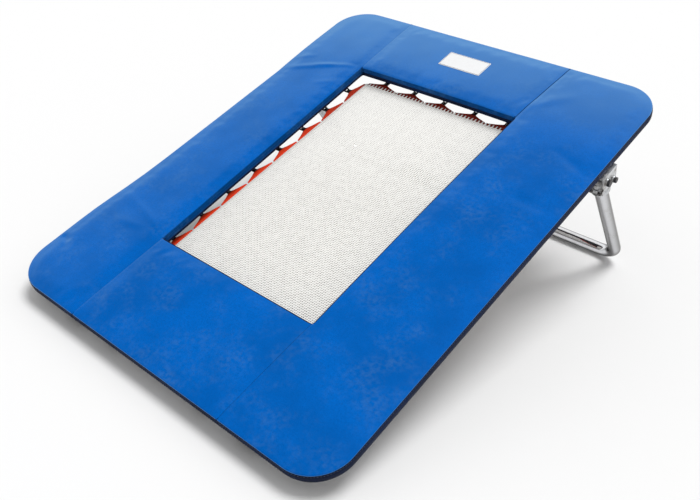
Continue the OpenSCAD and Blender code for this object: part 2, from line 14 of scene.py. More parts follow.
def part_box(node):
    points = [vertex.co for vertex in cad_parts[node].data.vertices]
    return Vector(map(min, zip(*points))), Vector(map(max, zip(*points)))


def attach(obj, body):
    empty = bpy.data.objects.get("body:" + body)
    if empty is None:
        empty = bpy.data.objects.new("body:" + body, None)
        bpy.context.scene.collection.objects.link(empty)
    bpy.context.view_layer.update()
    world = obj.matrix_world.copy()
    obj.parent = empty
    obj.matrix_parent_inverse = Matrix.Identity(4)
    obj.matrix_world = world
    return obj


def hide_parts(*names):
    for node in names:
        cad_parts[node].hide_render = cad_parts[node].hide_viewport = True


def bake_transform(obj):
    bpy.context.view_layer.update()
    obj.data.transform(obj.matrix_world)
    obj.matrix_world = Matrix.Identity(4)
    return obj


bl_info = {
    "name": "Take-off Trampoline",
    "version": (1, 0, 0),
    "blender": (4, 5, 0),
    "location": "3D View > Sidebar > Trampoline",
    "description": "Builds the finishes and soft parts of a sloping take-off trampoline",
    "category": "Object",
}

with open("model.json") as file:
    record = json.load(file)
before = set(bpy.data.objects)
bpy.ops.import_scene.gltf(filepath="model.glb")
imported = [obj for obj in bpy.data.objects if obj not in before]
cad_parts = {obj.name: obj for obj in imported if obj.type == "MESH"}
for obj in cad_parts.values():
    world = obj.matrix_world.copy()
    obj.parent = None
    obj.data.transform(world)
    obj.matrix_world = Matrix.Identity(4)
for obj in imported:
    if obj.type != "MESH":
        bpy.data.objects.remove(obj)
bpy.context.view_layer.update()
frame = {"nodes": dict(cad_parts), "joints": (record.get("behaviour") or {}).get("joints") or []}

BED_DEPTH = 0.04315  # the bed's middle lies this far under the pad's edge seam
MM = 0.001
DOWN = Vector((0, 0, -1))


# ---------------------------------------------------------------- places

def stand_matrix():
    """Places the pad's own plane, with Z square to it, in the world."""
    slide = next(joint for joint in frame["joints"] if joint["name"] == "bed_bounce")
    up = -Vector(slide["axis"]).normalized()
    low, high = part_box("bed")
    origin = (low + high) / 2 + up * BED_DEPTH
    axes = Matrix((Vector((1, 0, 0)), Vector((0, up.z, -up.y)), up)).transposed()
    return Matrix.Translation(origin) @ axes.to_4x4()


STAND = stand_matrix()


def flat(node):
    """A CAD node's points in the pad's own plane."""
    mesh = frame["nodes"][node].data
    points = np.empty(len(mesh.vertices) * 3)
    mesh.vertices.foreach_get("co", points)
    inverse = np.array(STAND.inverted())
    return points.reshape(-1, 3) @ inverse[:3, :3].T + inverse[:3, 3]


def corner(node, across, along):
    """The corner of a CAD node that lies furthest that way."""
    points = flat(node)
    return points[np.argmax(points[:, 0] * across + points[:, 1] * along), :2]


BED_LOW, BED_HIGH = flat("bed").min(0), flat("bed").max(0)
PAD_LOW = np.minimum(flat("pad_left").min(0), flat("pad_near").min(0))
PAD_HIGH = np.maximum(flat("pad_right").max(0), flat("pad_far").max(0))

# how far a side's row is turned, and the edge of the bed that it starts from
SIDES = {
    "right": (0, Vector((BED_HIGH[0], 0, -BED_DEPTH))),
    "far": (90, Vector((0, BED_HIGH[1], -BED_DEPTH))),
    "left": (180, Vector((BED_LOW[0], 0, -BED_DEPTH))),
    "near": (270, Vector((0, BED_LOW[1], -BED_DEPTH))),
}


def side_axes(side):
    """The axis that a side of the bed runs along, and the one that points out of it."""
    return (1, 0) if side in ("left", "right") else (0, 1)


def side_matrix(side):
    """Turns a row with X pointing out of the bed to one side of the bed."""
    angle, start = SIDES[side]
    return STAND @ Matrix.Translation(start) @ Matrix.Rotation(math.radians(angle), 4, "Z")


def bed_size(axis):
    return float(BED_HIGH[axis] - BED_LOW[axis])


# ---------------------------------------------------------------- settings

def size(name, description, default):
    return FloatProperty(name=name, description=description, default=default,
                         min=0.0, unit="LENGTH", precision=4)


def tint(name, description, red, green, blue):
    return FloatVectorProperty(
        name=name, description=description, subtype="COLOR_GAMMA", size=3, min=0.0, max=1.0,
        default=(red / 255, green / 255, blue / 255))


class SurroundSettings(bpy.types.PropertyGroup):
    """Sizes and colours of the upholstered surround pad."""
    corner: size("Corner radius", "Radius of the pad's outer corners", 0.095)
    shoulder: size("Shoulder", "Rounding of the top where it turns down into the opening", 0.009)
    crown: size("Crown", "Rise of the top above its edges", 0.002)
    roll: size("Edge roll", "Rounding of the top's outer edges", 0.0032)
    grid: size("Grid", "Spacing of the points of the pad's skin", 0.0065)
    swell: size("Swell", "How far the foam may push the cover up or down", 0.0024)
    cloth_grid: size("Cloth grid", "Spacing of the points of the settling cloth", 0.014)
    cloth_spare: FloatProperty(
        name="Spare cloth", description="Share by which the cover is too large for its foam",
        default=0.002, min=0.0, max=0.05)
    blue: tint("Vinyl", "Colour of the vinyl cover", 0, 102, 197)
    # the vinyl's painted sheen, paler where the cover is seen at a slant; handling marks are also
    # rubbed a little towards it
    painted_sheen_and_rub: tint("Sheen", "Colour of the vinyl where it is seen at a slant", 94, 147, 206)
    edging: tint("Edging", "Colour of the side band", 4, 20, 50)


class BedSettings(bpy.types.PropertyGroup):
    """Sizes and colours of the woven bed and its tabs."""
    pitch: size("Mesh pitch", "Spacing of the woven strings", 0.0054)
    string_w: size("String width", "Width of a woven string", 0.0040)
    string_t: size("String thickness", "Thickness of a woven string", 0.0009)
    tooth_w: size("Tooth width", "Width of a string's loop over the edge", 0.0040)
    tab_w: size("Tab width", "Width of a tab at the bed", 0.093)
    tab_h: size("Tab height", "Height of a tab", 0.029)
    tab_t: size("Tab thickness", "Thickness of a tab", 0.003)
    tab_pitch: size("Tab pitch", "Spacing of the tabs", 0.099)
    tab_tip: size("Tab tip", "Width of a tab at its tip", 0.011)
    string: tint("String", "Colour of the woven strings", 254, 253, 249)
    # painted shade round the bed's holes, where they fall dark
    painted_hole_shade: tint("Grime", "Colour of the dust between the strings", 66, 50, 30)
    webbing: tint("Webbing", "Colour of the tabs", 255, 62, 16)


class MetalSettings(bpy.types.PropertyGroup):
    """Sizes and colours of the suspension and the metal parts."""
    cable_d: size("Cable", "Diameter of a rubber cable", 0.008)
    cable_steps: IntProperty(name="Cable steps", description="Steps round a cable's end",
                             default=14, min=6, max=32)
    strap_w: size("Strap width", "Width of a fastening strap", 0.030)
    strap_t: size("Strap thickness", "Thickness of a fastening strap", 0.0015)
    chrome: tint("Chrome", "Colour of the plated tube", 226, 227, 230)
    zinc: tint("Zinc", "Colour of the hinge steel", 196, 198, 200)


class StageSettings(bpy.types.PropertyGroup):
    """Floor and light."""
    floor: tint("Floor", "Colour of the floor", 246, 246, 246)
    sun: FloatProperty(name="Sun", description="Strength of the slanting light", default=1.75,
                       min=0.0, max=5.0)
    softness: FloatProperty(name="Softness", description="Width of the slanting light's source",
                            default=0.5, min=0.0, max=3.0, unit="ROTATION")
    world: FloatProperty(name="Sky", description="Strength of the even light", default=0.55,
                         min=0.0, max=2.0)


def settings(name):
    return getattr(bpy.context.scene, name)


def shade(colour, factor=1.0):
    """A screen colour from 0 to 1 as the linear colour that shaders take, made so much lighter."""
    def one(value):
        return value / 12.92 if value <= 0.04045 else ((value + 0.055) / 1.055) ** 2.4
    return tuple(min(1.0, one(value) * factor) for value in colour)


# ---------------------------------------------------------------- node trees

FLOAT, VECTOR, INT = "NodeSocketFloat", "NodeSocketVector", "NodeSocketInt"
GEOMETRY, MATERIAL = "NodeSocketGeometry", "NodeSocketMaterial"


class Net:
    """Adds nodes to a tree; an input that is given a socket is linked to it."""

    def __init__(self, tree):
        self.tree = tree

    def link(self, source, target):
        self.tree.links.new(source, target)

    def feed(self, node, key, value):
        if isinstance(value, bpy.types.NodeSocket):
            self.link(value, node.inputs[key])
        else:
            node.inputs[key].default_value = (*value, 1.0) if isinstance(value, tuple) else value

    def add(self, kind, inputs=None, **options):
        node = self.tree.nodes.new(kind)
        for key, value in options.items():
            setattr(node, key, value)
        for key, value in (inputs or {}).items():
            self.feed(node, key, value)
        return node

    def geo(self, kind, inputs=None, **options):
        """The first output of a new geometry node."""
        return self.add("GeometryNode" + kind, inputs, **options).outputs[0]

    def math(self, operation, a, b=0.0):
        return self.add("ShaderNodeMath", {0: a, 1: b}, operation=operation).outputs[0]

    def plus(self, a, b):
        return self.math("ADD", a, b)

    def minus(self, a, b):
        return self.math("SUBTRACT", a, b)

    def times(self, a, b):
        return self.math("MULTIPLY", a, b)

    def over(self, a, limit):
        """Whether a value is further than the limit from zero."""
        return self.math("GREATER_THAN", self.math("ABSOLUTE", a), limit)

    def mix(self, factor, a, b):
        return self.add("ShaderNodeMix", {0: factor, 6: a, 7: b}, data_type="RGBA").outputs[2]

    def between(self, value, low, high, start=0.0, end=1.0):
        return self.add("ShaderNodeMapRange", {0: value, 1: low, 2: high, 3: start, 4: end},
                        interpolation_type="SMOOTHSTEP").outputs[0]

    def noise(self, vector, scale, detail, roughness=0.5):
        return self.add("ShaderNodeTexNoise", {
            "Vector": vector, "Scale": scale, "Detail": detail,
            "Roughness": roughness}).outputs["Fac"]

    def vector(self, x=0.0, y=0.0, z=0.0):
        return self.add("ShaderNodeCombineXYZ", {0: x, 1: y, 2: z}).outputs[0]

    def split(self, vector):
        return self.add("ShaderNodeSeparateXYZ", {0: vector}).outputs

    def store(self, shape, name, value, domain="POINT"):
        return self.geo("StoreNamedAttribute", {
            "Geometry": shape, "Name": name, "Value": value}, data_type="FLOAT", domain=domain)

    def deliver(self, made, given, result):
        """Ends a tree of shapes: real geometry in its material."""
        real = self.geo("RealizeInstances", {"Geometry": made})
        done = self.geo("SetMaterial", {"Geometry": real, "Material": given["Material"]})
        self.link(done, result["Geometry"])
        return self.tree


def new_tree(kind, name, inputs, outputs):
    """A node group with named sockets; gives its net, its inputs and its output node."""
    tree = bpy.data.node_groups.new(name, kind)
    for label, socket, default in inputs:
        item = tree.interface.new_socket(label, in_out="INPUT", socket_type=socket)
        if default is not None:
            item.default_value = default
    for label, socket in outputs:
        tree.interface.new_socket(label, in_out="OUTPUT", socket_type=socket)
    net = Net(tree)
    return net, net.add("NodeGroupInput").outputs, net.add("NodeGroupOutput").inputs


def effect_tree(name, inputs, *outputs):
    """A shader group that reads a place on the surface."""
    return new_tree("ShaderNodeTree", name, [
        ("Vector", VECTOR, None), *[(label, FLOAT, default) for label, default in inputs.items()]],
        [(label, FLOAT) for label in outputs])


def shape_tree(name, inputs):
    """A Geometry Nodes tree that takes and gives a geometry."""
    return new_tree("GeometryNodeTree", name, [
        ("Geometry", GEOMETRY, None),
        *[(label, INT if isinstance(default, int) else FLOAT, default)
          for label, default in inputs.items()],
        ("Material", MATERIAL, None)], [("Geometry", GEOMETRY)])


def grain_tree():
    """Leather-like grain of coated cloth: height, and a slow variation from 0 to 1."""
    net, given, result = effect_tree(
        "Vinyl grain", {"Cells per metre": 650.0}, "Height", "Variation")
    place, scale = given["Vector"], given["Cells per metre"]
    cells = net.add("ShaderNodeTexVoronoi", {
        "Vector": place, "Scale": scale, "Randomness": 0.9},
        feature="DISTANCE_TO_EDGE").outputs["Distance"]
    pebble = net.between(cells, 0.0, 0.35)
    creases = net.noise(place, net.times(scale, 0.35), 3.0)
    net.link(net.plus(net.times(pebble, 0.6), net.times(creases, 0.5)), result["Height"])
    slow = net.noise(place, 7.0, 3.0, 0.55)
    net.link(net.between(slow, 0.32, 0.68), result["Variation"])
    return net.tree


def weave_tree():
    """Plain weave on a place in metres: height, and a shade from 0 to 1."""
    net, given, result = effect_tree(
        "Thread weave", {"Threads per metre": 900.0}, "Height", "Shade")
    x, y, _ = net.split(given["Vector"])
    u, v = (net.times(value, given["Threads per metre"]) for value in (x, y))

    def ridge(value):
        return net.math("ABSOLUTE", net.math("SINE", net.times(value, math.pi)))
    cells = net.plus(net.math("FLOOR", u), net.math("FLOOR", v))
    over = net.math("MODULO", net.math("ABSOLUTE", cells), 2.0)
    height = net.plus(net.times(ridge(u), over), net.times(ridge(v), net.minus(1.0, over)))
    mottle = net.noise(given["Vector"], 160.0, 3.0)
    net.link(height, result["Height"])
    net.link(net.plus(net.times(height, 0.45), net.times(mottle, 0.6)), result["Shade"])
    return net.tree


def marks_tree():
    """Handling marks, smears and dust: a mask from 0 to 1."""
    net, given, result = effect_tree("Handling marks", {"Size": 30.0, "Amount": 0.5}, "Mask")
    clouds = net.noise(given["Vector"], given["Size"], 5.0, 0.65)
    streaks = net.noise(given["Vector"], net.times(given["Size"], 9.0), 2.0)
    mask = net.times(net.between(clouds, 0.42, 0.72), net.between(streaks, 0.3, 0.7))
    net.link(net.times(mask, given["Amount"]), result["Mask"])
    return net.tree


def strings_tree():
    """Parallel strings that pass over and under the strings that cross them."""
    net, given, result = shape_tree("Woven strings", {
        "Strings": 10, "Crossings": 10, "String pitch": 0.005, "Crossing pitch": 0.005,
        "Width": 0.004, "Thickness": 0.001, "Rise": 0.0007, "Phase": 0, "Seed": 3})
    last_x, last_y = net.minus(given["Strings"], 1.0), net.minus(given["Crossings"], 1.0)
    grid = net.geo("MeshGrid", {
        "Size X": net.times(last_x, given["String pitch"]),
        "Size Y": net.times(last_y, given["Crossing pitch"]),
        "Vertices X": given["Strings"], "Vertices Y": given["Crossings"]})
    ends = net.add("GeometryNodeInputMeshEdgeVertices").outputs
    one, two = net.split(ends["Position 1"]), net.split(ends["Position 2"])
    crossing = net.over(net.minus(one["X"], two["X"]), 0.0001)
    lines = net.geo("DeleteGeometry", {"Geometry": grid, "Selection": crossing},
                    domain="EDGE", mode="EDGE_FACE")
    at = net.split(net.geo("InputPosition"))

    def step(value, pitch, last):
        place = net.plus(net.math("DIVIDE", value, pitch), net.math("DIVIDE", last, 2.0))
        return net.math("ROUND", place)
    column = step(at["X"], given["String pitch"], last_x)
    row = step(at["Y"], given["Crossing pitch"], last_y)
    turn = net.math("MODULO", net.plus(net.plus(column, row), given["Phase"]), 2.0)
    height = net.times(net.minus(net.times(turn, 2.0), 1.0), given["Rise"])
    tone = net.add("FunctionNodeRandomValue", {"ID": column, "Seed": given["Seed"]},
                   data_type="FLOAT").outputs[1]
    toned = net.store(net.store(lines, "string_step", row), "string_tone", tone)
    raised = net.geo("SetPosition", {"Geometry": toned, "Offset": net.vector(z=height)})
    upright = net.geo("SetCurveNormal", {"Curve": net.geo("MeshToCurve", {"Mesh": raised})},
                      mode="Z_UP")
    # six-sided section: a flat top and bottom, and two sloping faces on each side
    ring = net.geo("CurvePrimitiveCircle", {"Resolution": 6, "Radius": 0.5})
    spot = net.split(net.geo("InputPosition"))
    spread = net.times(spot["X"], net.times(net.over(spot["Y"], 0.1), 0.74))
    squared = net.geo("SetPosition", {"Geometry": ring, "Offset": net.vector(x=spread)})
    profile = net.geo("Transform", {
        "Geometry": net.store(squared, "string_across", spot["X"]),
        "Scale": net.vector(given["Width"], net.times(given["Thickness"], 1.155), 1.0)})
    strings = net.geo("CurveToMesh", {
        "Curve": upright, "Profile Curve": profile, "Fill Caps": True})
    steep = net.split(net.geo("InputNormal"))["Z"]
    side = net.math("LESS_THAN", net.math("ABSOLUTE", steep), 0.8)
    crisp = net.geo("SetShadeSmooth", {
        "Geometry": net.store(strings, "string_side", side, "FACE"), "Shade Smooth": False})
    return net.deliver(crisp, given, result)


def row_tree():
    """Copies of a mesh in a row along Y, centred on it."""
    net, given, result = shape_tree("Row of copies", {"Count": 5, "Pitch": 0.1})
    length = net.times(net.minus(given["Count"], 1.0), given["Pitch"])
    line = net.geo("MeshLine", {
        "Count": given["Count"], "Start Location": net.vector(y=net.times(length, -0.5)),
        "Offset": net.vector(y=given["Pitch"])}, mode="OFFSET")
    copies = net.geo("InstanceOnPoints", {"Points": line, "Instance": given["Geometry"]})
    return net.deliver(copies, given, result)


def stitch_tree():
    """Stitches of thread set along the edges of a mesh."""
    net, given, result = shape_tree(
        "Stitches", {"Pitch": 0.005, "Length": 0.0035, "Thread": 0.0009})
    path = net.geo("MeshToCurve", {"Mesh": given["Geometry"]})
    spots = net.add("GeometryNodeCurveToPoints", {
        "Curve": path, "Length": given["Pitch"]}, mode="LENGTH").outputs
    turned = net.add("FunctionNodeAlignRotationToVector", {"Vector": spots["Tangent"]},
                     axis="X").outputs[0]
    bead = net.geo("MeshUVSphere", {"Segments": 6, "Rings": 4, "Radius": 0.5})
    copies = net.geo("InstanceOnPoints", {
        "Points": spots["Points"], "Instance": net.geo("SetShadeSmooth", {"Geometry": bead}),
        "Rotation": turned,
        "Scale": net.vector(given["Length"], given["Thread"], given["Thread"])})
    return net.deliver(copies, given, result)


TREES = {
    "Vinyl grain": grain_tree, "Thread weave": weave_tree, "Handling marks": marks_tree,
    "Woven strings": strings_tree, "Row of copies": row_tree, "Stitches": stitch_tree,
}


def node_tree(name):
    """One of the node trees, made the first time that it is asked for."""
    return bpy.data.node_groups.get(name) or TREES[name]()


# ---------------------------------------------------------------- finishes

class Finish(Net):
    """A material with one Principled shader, and short ways to feed it."""

    def __init__(self, name, roughness, metallic=0.0, specular=0.5):
        self.material = bpy.data.materials.new(name)
        self.material.use_nodes = True
        super().__init__(self.material.node_tree)
        self.shader = self.tree.nodes["Principled BSDF"]
        coordinates = self.add("ShaderNodeTexCoord").outputs
        self.place, self.map = coordinates["Object"], coordinates["UV"]
        self.put("Roughness", roughness)
        self.put("Metallic", metallic)
        self.put("Specular IOR Level", specular)

    def put(self, socket, value):
        self.feed(self.shader, socket, value)

    def slant(self, low, high, square=0.0, grazing=1.0):
        """A first value where the surface is seen square, a second where it is at a slant."""
        facing = self.add("ShaderNodeLayerWeight", {"Blend": 0.5}).outputs["Facing"]
        return self.between(facing, low, high, square, grazing)

    def attribute(self, name):
        return self.add("ShaderNodeAttribute", attribute_name=name).outputs["Fac"]

    def effect(self, name, mapped=False, **values):
        """One of the shader groups, read at the object's place or on the surface map."""
        inputs = {key.replace("_", " ").capitalize(): value for key, value in values.items()}
        inputs["Vector"] = self.map if mapped else self.place
        return self.add("ShaderNodeGroup", inputs, node_tree=node_tree(name)).outputs

    def marks(self, size, amount):
        return self.effect("Handling marks", size=size, amount=amount)["Mask"]

    def bump(self, height, distance, strength):
        self.put("Normal", self.add("ShaderNodeBump", {
            "Strength": strength, "Distance": distance, "Height": height}).outputs[0])


def patterned(name, rough, colours, bump, weave=0, grain=0, mapped=False, marks=None, soil=None,
              worn=None, metallic=0.0, specular=0.5):
    """A finish of one colour, or of two in a weave or a grain, with handling marks over it."""
    finish = Finish(name, rough, metallic, specular)
    height, colour = None, colours[0]
    if weave:
        cells = finish.effect("Thread weave", mapped, threads_per_metre=weave)
        height, colour = cells["Height"], finish.mix(cells["Shade"], *colours)
    if grain:
        cells = finish.effect("Vinyl grain", mapped, cells_per_metre=grain)
        height, colour = cells["Height"], finish.mix(cells["Variation"], *colours)
    if marks:
        mask = finish.marks(*marks)
        colour = finish.mix(mask, colour, soil)
        height = mask if height is None else height
        if worn:
            finish.put("Roughness", finish.between(mask, 0.0, *worn))
    finish.put("Base Color", colour)
    finish.bump(height, *bump)
    return finish.material


def vinyl(name, depth, painted_sheen_share):
    """Coated cloth in the cover's blue; depth darkens it as painted shade, and the last value
    scales a painted sheen that makes it paler at a slant and towards the far end.
    """
    sizes = settings("surround")
    blue = [channel * depth for channel in sizes.blue]
    finish = Finish(name, roughness=0.45, specular=0.02)
    grain = finish.effect("Vinyl grain", cells_per_metre=520.0)
    marks = finish.marks(11.0, 0.25)
    cover = finish.mix(grain["Variation"], shade(blue, 0.86), shade(blue, 1.1))
    # painted shade in the grain's pores
    pores = finish.between(grain["Height"], 0.1, 0.6, 0.9, 0.0)
    pored = finish.mix(pores, cover, shade(blue, 0.72))
    rubbed = finish.mix(marks, pored, shade(sizes.painted_sheen_and_rub, 0.75))
    # painted sheen: the cover made paler where it is seen at a slant and towards the far end
    painted_far_sheen = finish.between(finish.split(finish.place)["Y"], 0.3, 0.58, 0.0, 0.34)
    painted_sheen_and_rub = finish.times(finish.plus(finish.slant(0.3, 0.72), painted_far_sheen), painted_sheen_share)
    finish.put("Base Color", finish.mix(painted_sheen_and_rub, rubbed, shade(sizes.painted_sheen_and_rub)))
    finish.put("Roughness", finish.between(marks, 0.0, 0.5, 0.42, 0.55))
    finish.bump(grain["Height"], 0.0003, 0.8)
    return finish.material


def black_edging(name):
    edging = settings("surround").edging
    return patterned(name, 0.6, (shade(edging, 0.7), shade(edging, 1.3)), (0.0002, 0.7),
                     grain=900.0, marks=(24.0, 0.5), soil=shade(edging, 2.6),
                     worn=(0.5, 0.55, 0.75), specular=0.08)


def woven_string(name):
    cloth = settings("bed_cloth")
    finish = Finish(name, roughness=0.5, specular=0.3)
    step = finish.math("FRACT", finish.attribute("string_step"))
    from_hole = finish.math("ABSOLUTE", finish.minus(step, 0.5))
    across = finish.math("ABSOLUTE", finish.attribute("string_across"))
    edge = finish.math("MAXIMUM", finish.attribute("string_side"),
                       finish.between(across, 0.26, 0.3))
    # painted shade on the strings' sides and edges next to the holes, in patches, faded where the
    # bed is seen at a slant
    hole = finish.times(edge, finish.between(from_hole, 0.19, 0.24, 1.0, 0.0))
    patches = finish.between(finish.noise(finish.place, 70.0, 2.5), 0.35, 0.62, 0.6, 1.0)
    hollow = finish.times(finish.times(hole, patches), finish.slant(0.25, 0.37, 1.0, 0.05))
    base = finish.mix(finish.attribute("string_tone"), shade(cloth.string, 0.97),
                      shade(cloth.string))
    soiled = finish.mix(finish.marks(9.0, 0.25), base, shade(cloth.string, 0.88))
    finish.put("Base Color", finish.mix(hollow, soiled, shade(cloth.painted_hole_shade)))
    fibres = finish.noise(finish.place, 900.0, 2.0)
    finish.put("Roughness", finish.between(fibres, 0.3, 0.7, 0.42, 0.58))
    finish.bump(fibres, 0.0001, 0.6)
    return finish.material


def tab_webbing(name):
    """Webbing with painted shade that darkens it towards the raised end, most on the far row, and
    with its tip near black.
    """
    webbing = settings("bed_cloth").webbing
    finish = Finish(name, roughness=0.62, specular=0.25)
    weave = finish.effect("Thread weave", mapped=True, threads_per_metre=620.0)
    base = finish.mix(finish.between(weave["Shade"], 0.25, 0.8), shade(webbing, 0.92),
                      shade(webbing, 1.2))
    # painted shade: the tabs darker towards the raised end, where the far panel's wall shades them,
    # and most on the far row
    along = finish.split(finish.place)["Y"]
    far_row_shade = finish.between(along, 0.375, 0.385, 0.0, 0.25)
    painted_far_shade = finish.plus(finish.between(along, 0.05, 0.4, 0.0, 0.62), far_row_shade)
    far_shaded = finish.mix(painted_far_shade, base, shade(webbing, 0.12))
    soiled = finish.mix(finish.marks(60.0, 0.35), far_shaded, shade(webbing, 0.5))
    # the tip is made near black
    black_tip = finish.between(finish.split(finish.map)["X"], 0.0148, 0.0166)
    finish.put("Base Color", finish.mix(black_tip, soiled, (0.006, 0.006, 0.007)))
    finish.bump(weave["Height"], 0.0005, 0.8)
    return finish.material


def chromed_tube(name):
    finish = Finish(name, roughness=0.08, metallic=1.0)
    marks = finish.marks(35.0, 0.6)
    worn = finish.mix(marks, shade(settings("metalwork").chrome), (0.48, 0.46, 0.43))
    # painted dark reflection: the plating made darker where the tube is seen at a slant
    finish.put("Base Color", finish.mix(finish.slant(0.42, 0.8), worn, (0.07, 0.065, 0.06)))
    finish.put("Roughness", finish.between(marks, 0.0, 0.6, 0.06, 0.22))
    finish.bump(finish.noise(finish.place, 55.0, 2.0), 0.0003, 0.25)
    return finish.material


def hinge_steel(name):
    zinc = settings("metalwork").zinc
    finish = Finish(name, roughness=0.34, metallic=1.0)
    cells = finish.add("ShaderNodeTexVoronoi", {"Vector": finish.place, "Scale": 130.0})
    spangle = finish.split(cells.outputs["Color"])["X"]
    marks = finish.marks(50.0, 1.0)
    base = finish.mix(spangle, shade(zinc, 0.85), shade(zinc, 1.1))
    finish.put("Base Color", finish.mix(marks, base, (0.2, 0.15, 0.1)))
    finish.put("Roughness", finish.between(marks, 0.0, 0.6, 0.28, 0.55))
    finish.bump(spangle, 0.0001, 0.3)
    return finish.material


def thread(name, colour):
    return patterned(name, 0.6, (colour,), (0.0002, 0.5), marks=(200.0, 0.9),
                     soil=tuple(value * 0.5 for value in colour))


def dark_steel(name, colour, rough=0.42, metallic=1.0):
    return patterned(name, rough, (colour,), (0.0002, 0.4), marks=(90.0, 1.0),
                     soil=(0.3, 0.27, 0.24), worn=(0.6, rough, 0.62), metallic=metallic)


# each finish: the record's material slot that it belongs to, its maker and the maker's values
FINISHES = {
    "vinyl_cover": ("blue_vinyl", vinyl, {"depth": 1.0, "painted_sheen_share": 1.0}),
    # the darker vinyl of the opening's walls and the seams' sides: painted shade
    "vinyl_wall": ("blue_vinyl", vinyl, {"depth": 0.66, "painted_sheen_share": 0.15}),
    "black_edging": ("blue_vinyl", black_edging, {}),
    "backing_cloth": ("blue_vinyl", patterned, {
        "rough": 0.85, "colours": ((0.006, 0.006, 0.008), (0.028, 0.028, 0.032)),
        "weave": 700.0, "marks": (12.0, 0.8), "soil": (0.06, 0.055, 0.05),
        "bump": (0.0003, 0.6)}),
    "woven_string": ("white_mesh", woven_string, {}),
    "tab_webbing": ("red_webbing", tab_webbing, {}),
    "strap_cloth": ("strap_webbing", patterned, {
        "rough": 0.75, "colours": ((0.005, 0.005, 0.006), (0.03, 0.03, 0.033)),
        "weave": 800.0, "mapped": True, "bump": (0.0004, 0.8)}),
    "label_face": ("label_cloth", patterned, {
        "rough": 0.5, "colours": ((0.86, 0.87, 0.88), (0.93, 0.94, 0.95)), "weave": 1800.0,
        "mapped": True, "marks": (40.0, 0.35), "soil": (0.76, 0.75, 0.73),
        "bump": (0.00015, 0.4)}),
    "cable_sheath": ("cable_rubber", patterned, {
        "rough": 0.6, "colours": ((0.006, 0.006, 0.007), (0.032, 0.032, 0.034)),
        "weave": 750.0, "mapped": True, "bump": (0.0004, 0.7)}),
    "black_rubber_feet": ("black_rubber", patterned, {
        "rough": 0.7, "colours": ((0.012, 0.012, 0.013), (0.022, 0.022, 0.023)),
        "grain": 1400.0, "marks": (45.0, 0.9), "soil": (0.11, 0.105, 0.095),
        "worn": (0.6, 0.6, 0.85), "bump": (0.00015, 0.6)}),
    "chrome_plate": ("chromed_tube", chromed_tube, {}),
    "zinc_plate": ("hinge_steel", hinge_steel, {}),
    "dark_thread": ("label_cloth", thread, {"colour": (0.02, 0.022, 0.03)}),
    "grey_thread": ("blue_vinyl", thread, {"colour": (0.05, 0.055, 0.09)}),
    "red_thread": ("red_webbing", thread, {"colour": (0.5, 0.012, 0.004)}),
    "black_oxide": ("fasteners", dark_steel, {"colour": (0.05, 0.05, 0.055)}),
    "black_paint": ("painted_hooks", dark_steel, {
        "colour": (0.02, 0.02, 0.022), "rough": 0.5, "metallic": 0.0}),
    "black_wire": ("link_wire", dark_steel, {"colour": (0.03, 0.03, 0.032), "rough": 0.4}),
}


def material(name):
    _, maker, values = FINISHES[name]
    return bpy.data.materials.get(name) or maker(name, **values)


def coat(node, name):
    """Gives a CAD node its finish."""
    for slot in frame["nodes"][node].material_slots:
        slot.material = material(name)


# ---------------------------------------------------------------- meshes

def new_object(name, data):
    made = bpy.data.objects.new(name, data)
    bpy.context.scene.collection.objects.link(made)
    return made


def mesh_object(name, mesh, *finishes):
    for finish in finishes:
        mesh.materials.append(material(finish))
    return new_object(name, mesh)


def make_mesh(name, points, faces, edges=(), smooth=True):
    mesh = bpy.data.meshes.new(name)
    mesh.from_pydata([tuple(map(float, p)) for p in points], list(edges), faces)
    mesh.validate()
    mesh.polygons.foreach_set("use_smooth", [smooth] * len(mesh.polygons))
    return mesh


def mapped_mesh(name, points, faces, uvs):
    """A closed mesh with a surface map, by point, and its faces turned outwards."""
    mesh = make_mesh(name, points, faces)
    layer = mesh.uv_layers.new(name="UVMap")
    for loop in mesh.loops:
        layer.data[loop.index].uv = uvs[loop.vertex_index][:2]
    turned = bmesh.new()
    turned.from_mesh(mesh)
    bmesh.ops.recalc_face_normals(turned, faces=turned.faces)
    turned.to_mesh(mesh)
    turned.free()
    return mesh


def settle(made, matrix, body, finish, *nodes):
    """Moves a piece's mesh to its place, hangs it on the body that it rides on, and hides the CAD
    nodes that it stands for.
    """
    made.data.transform(matrix)
    made.data.update()
    if body:
        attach(made, body)
    if nodes:
        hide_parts(*nodes)
    return made


def grow(name, tree, finish, base=None, **values):
    """Runs a Geometry Nodes tree on a mesh and keeps the result as a plain mesh."""
    holder = new_object(name, base or bpy.data.meshes.new(name))
    modifier = holder.modifiers.new("Grow", "NODES")
    modifier.node_group = node_tree(tree)
    values["material"] = material(finish)
    for item in modifier.node_group.interface.items_tree:
        key = item.name.replace(" ", "_").lower()
        if item.item_type == "SOCKET" and item.in_out == "INPUT" and key in values:
            modifier[item.identifier] = values[key]
    graph = bpy.context.evaluated_depsgraph_get()
    mesh = bpy.data.meshes.new_from_object(
        holder.evaluated_get(graph), preserve_all_data_layers=True, depsgraph=graph)
    holder.modifiers.clear()
    holder.data = mesh
    return holder


# finish of each row of stitches, and their pitch, length and thickness
STITCHES = {
    "edging_stitches": ("grey_thread", 0.0062, 0.0046, 0.0011),
    "label_stitches": ("dark_thread", 0.0042, 0.0032, 0.0011),
    "strap_stitches": ("grey_thread", 0.0040, 0.0030, 0.0008),
    "tab_sewing": ("red_thread", 0.0034, 0.0026, 0.0008),
}
THREAD_LIFT = 0.0002  # of a thread's middle over the webbing under it


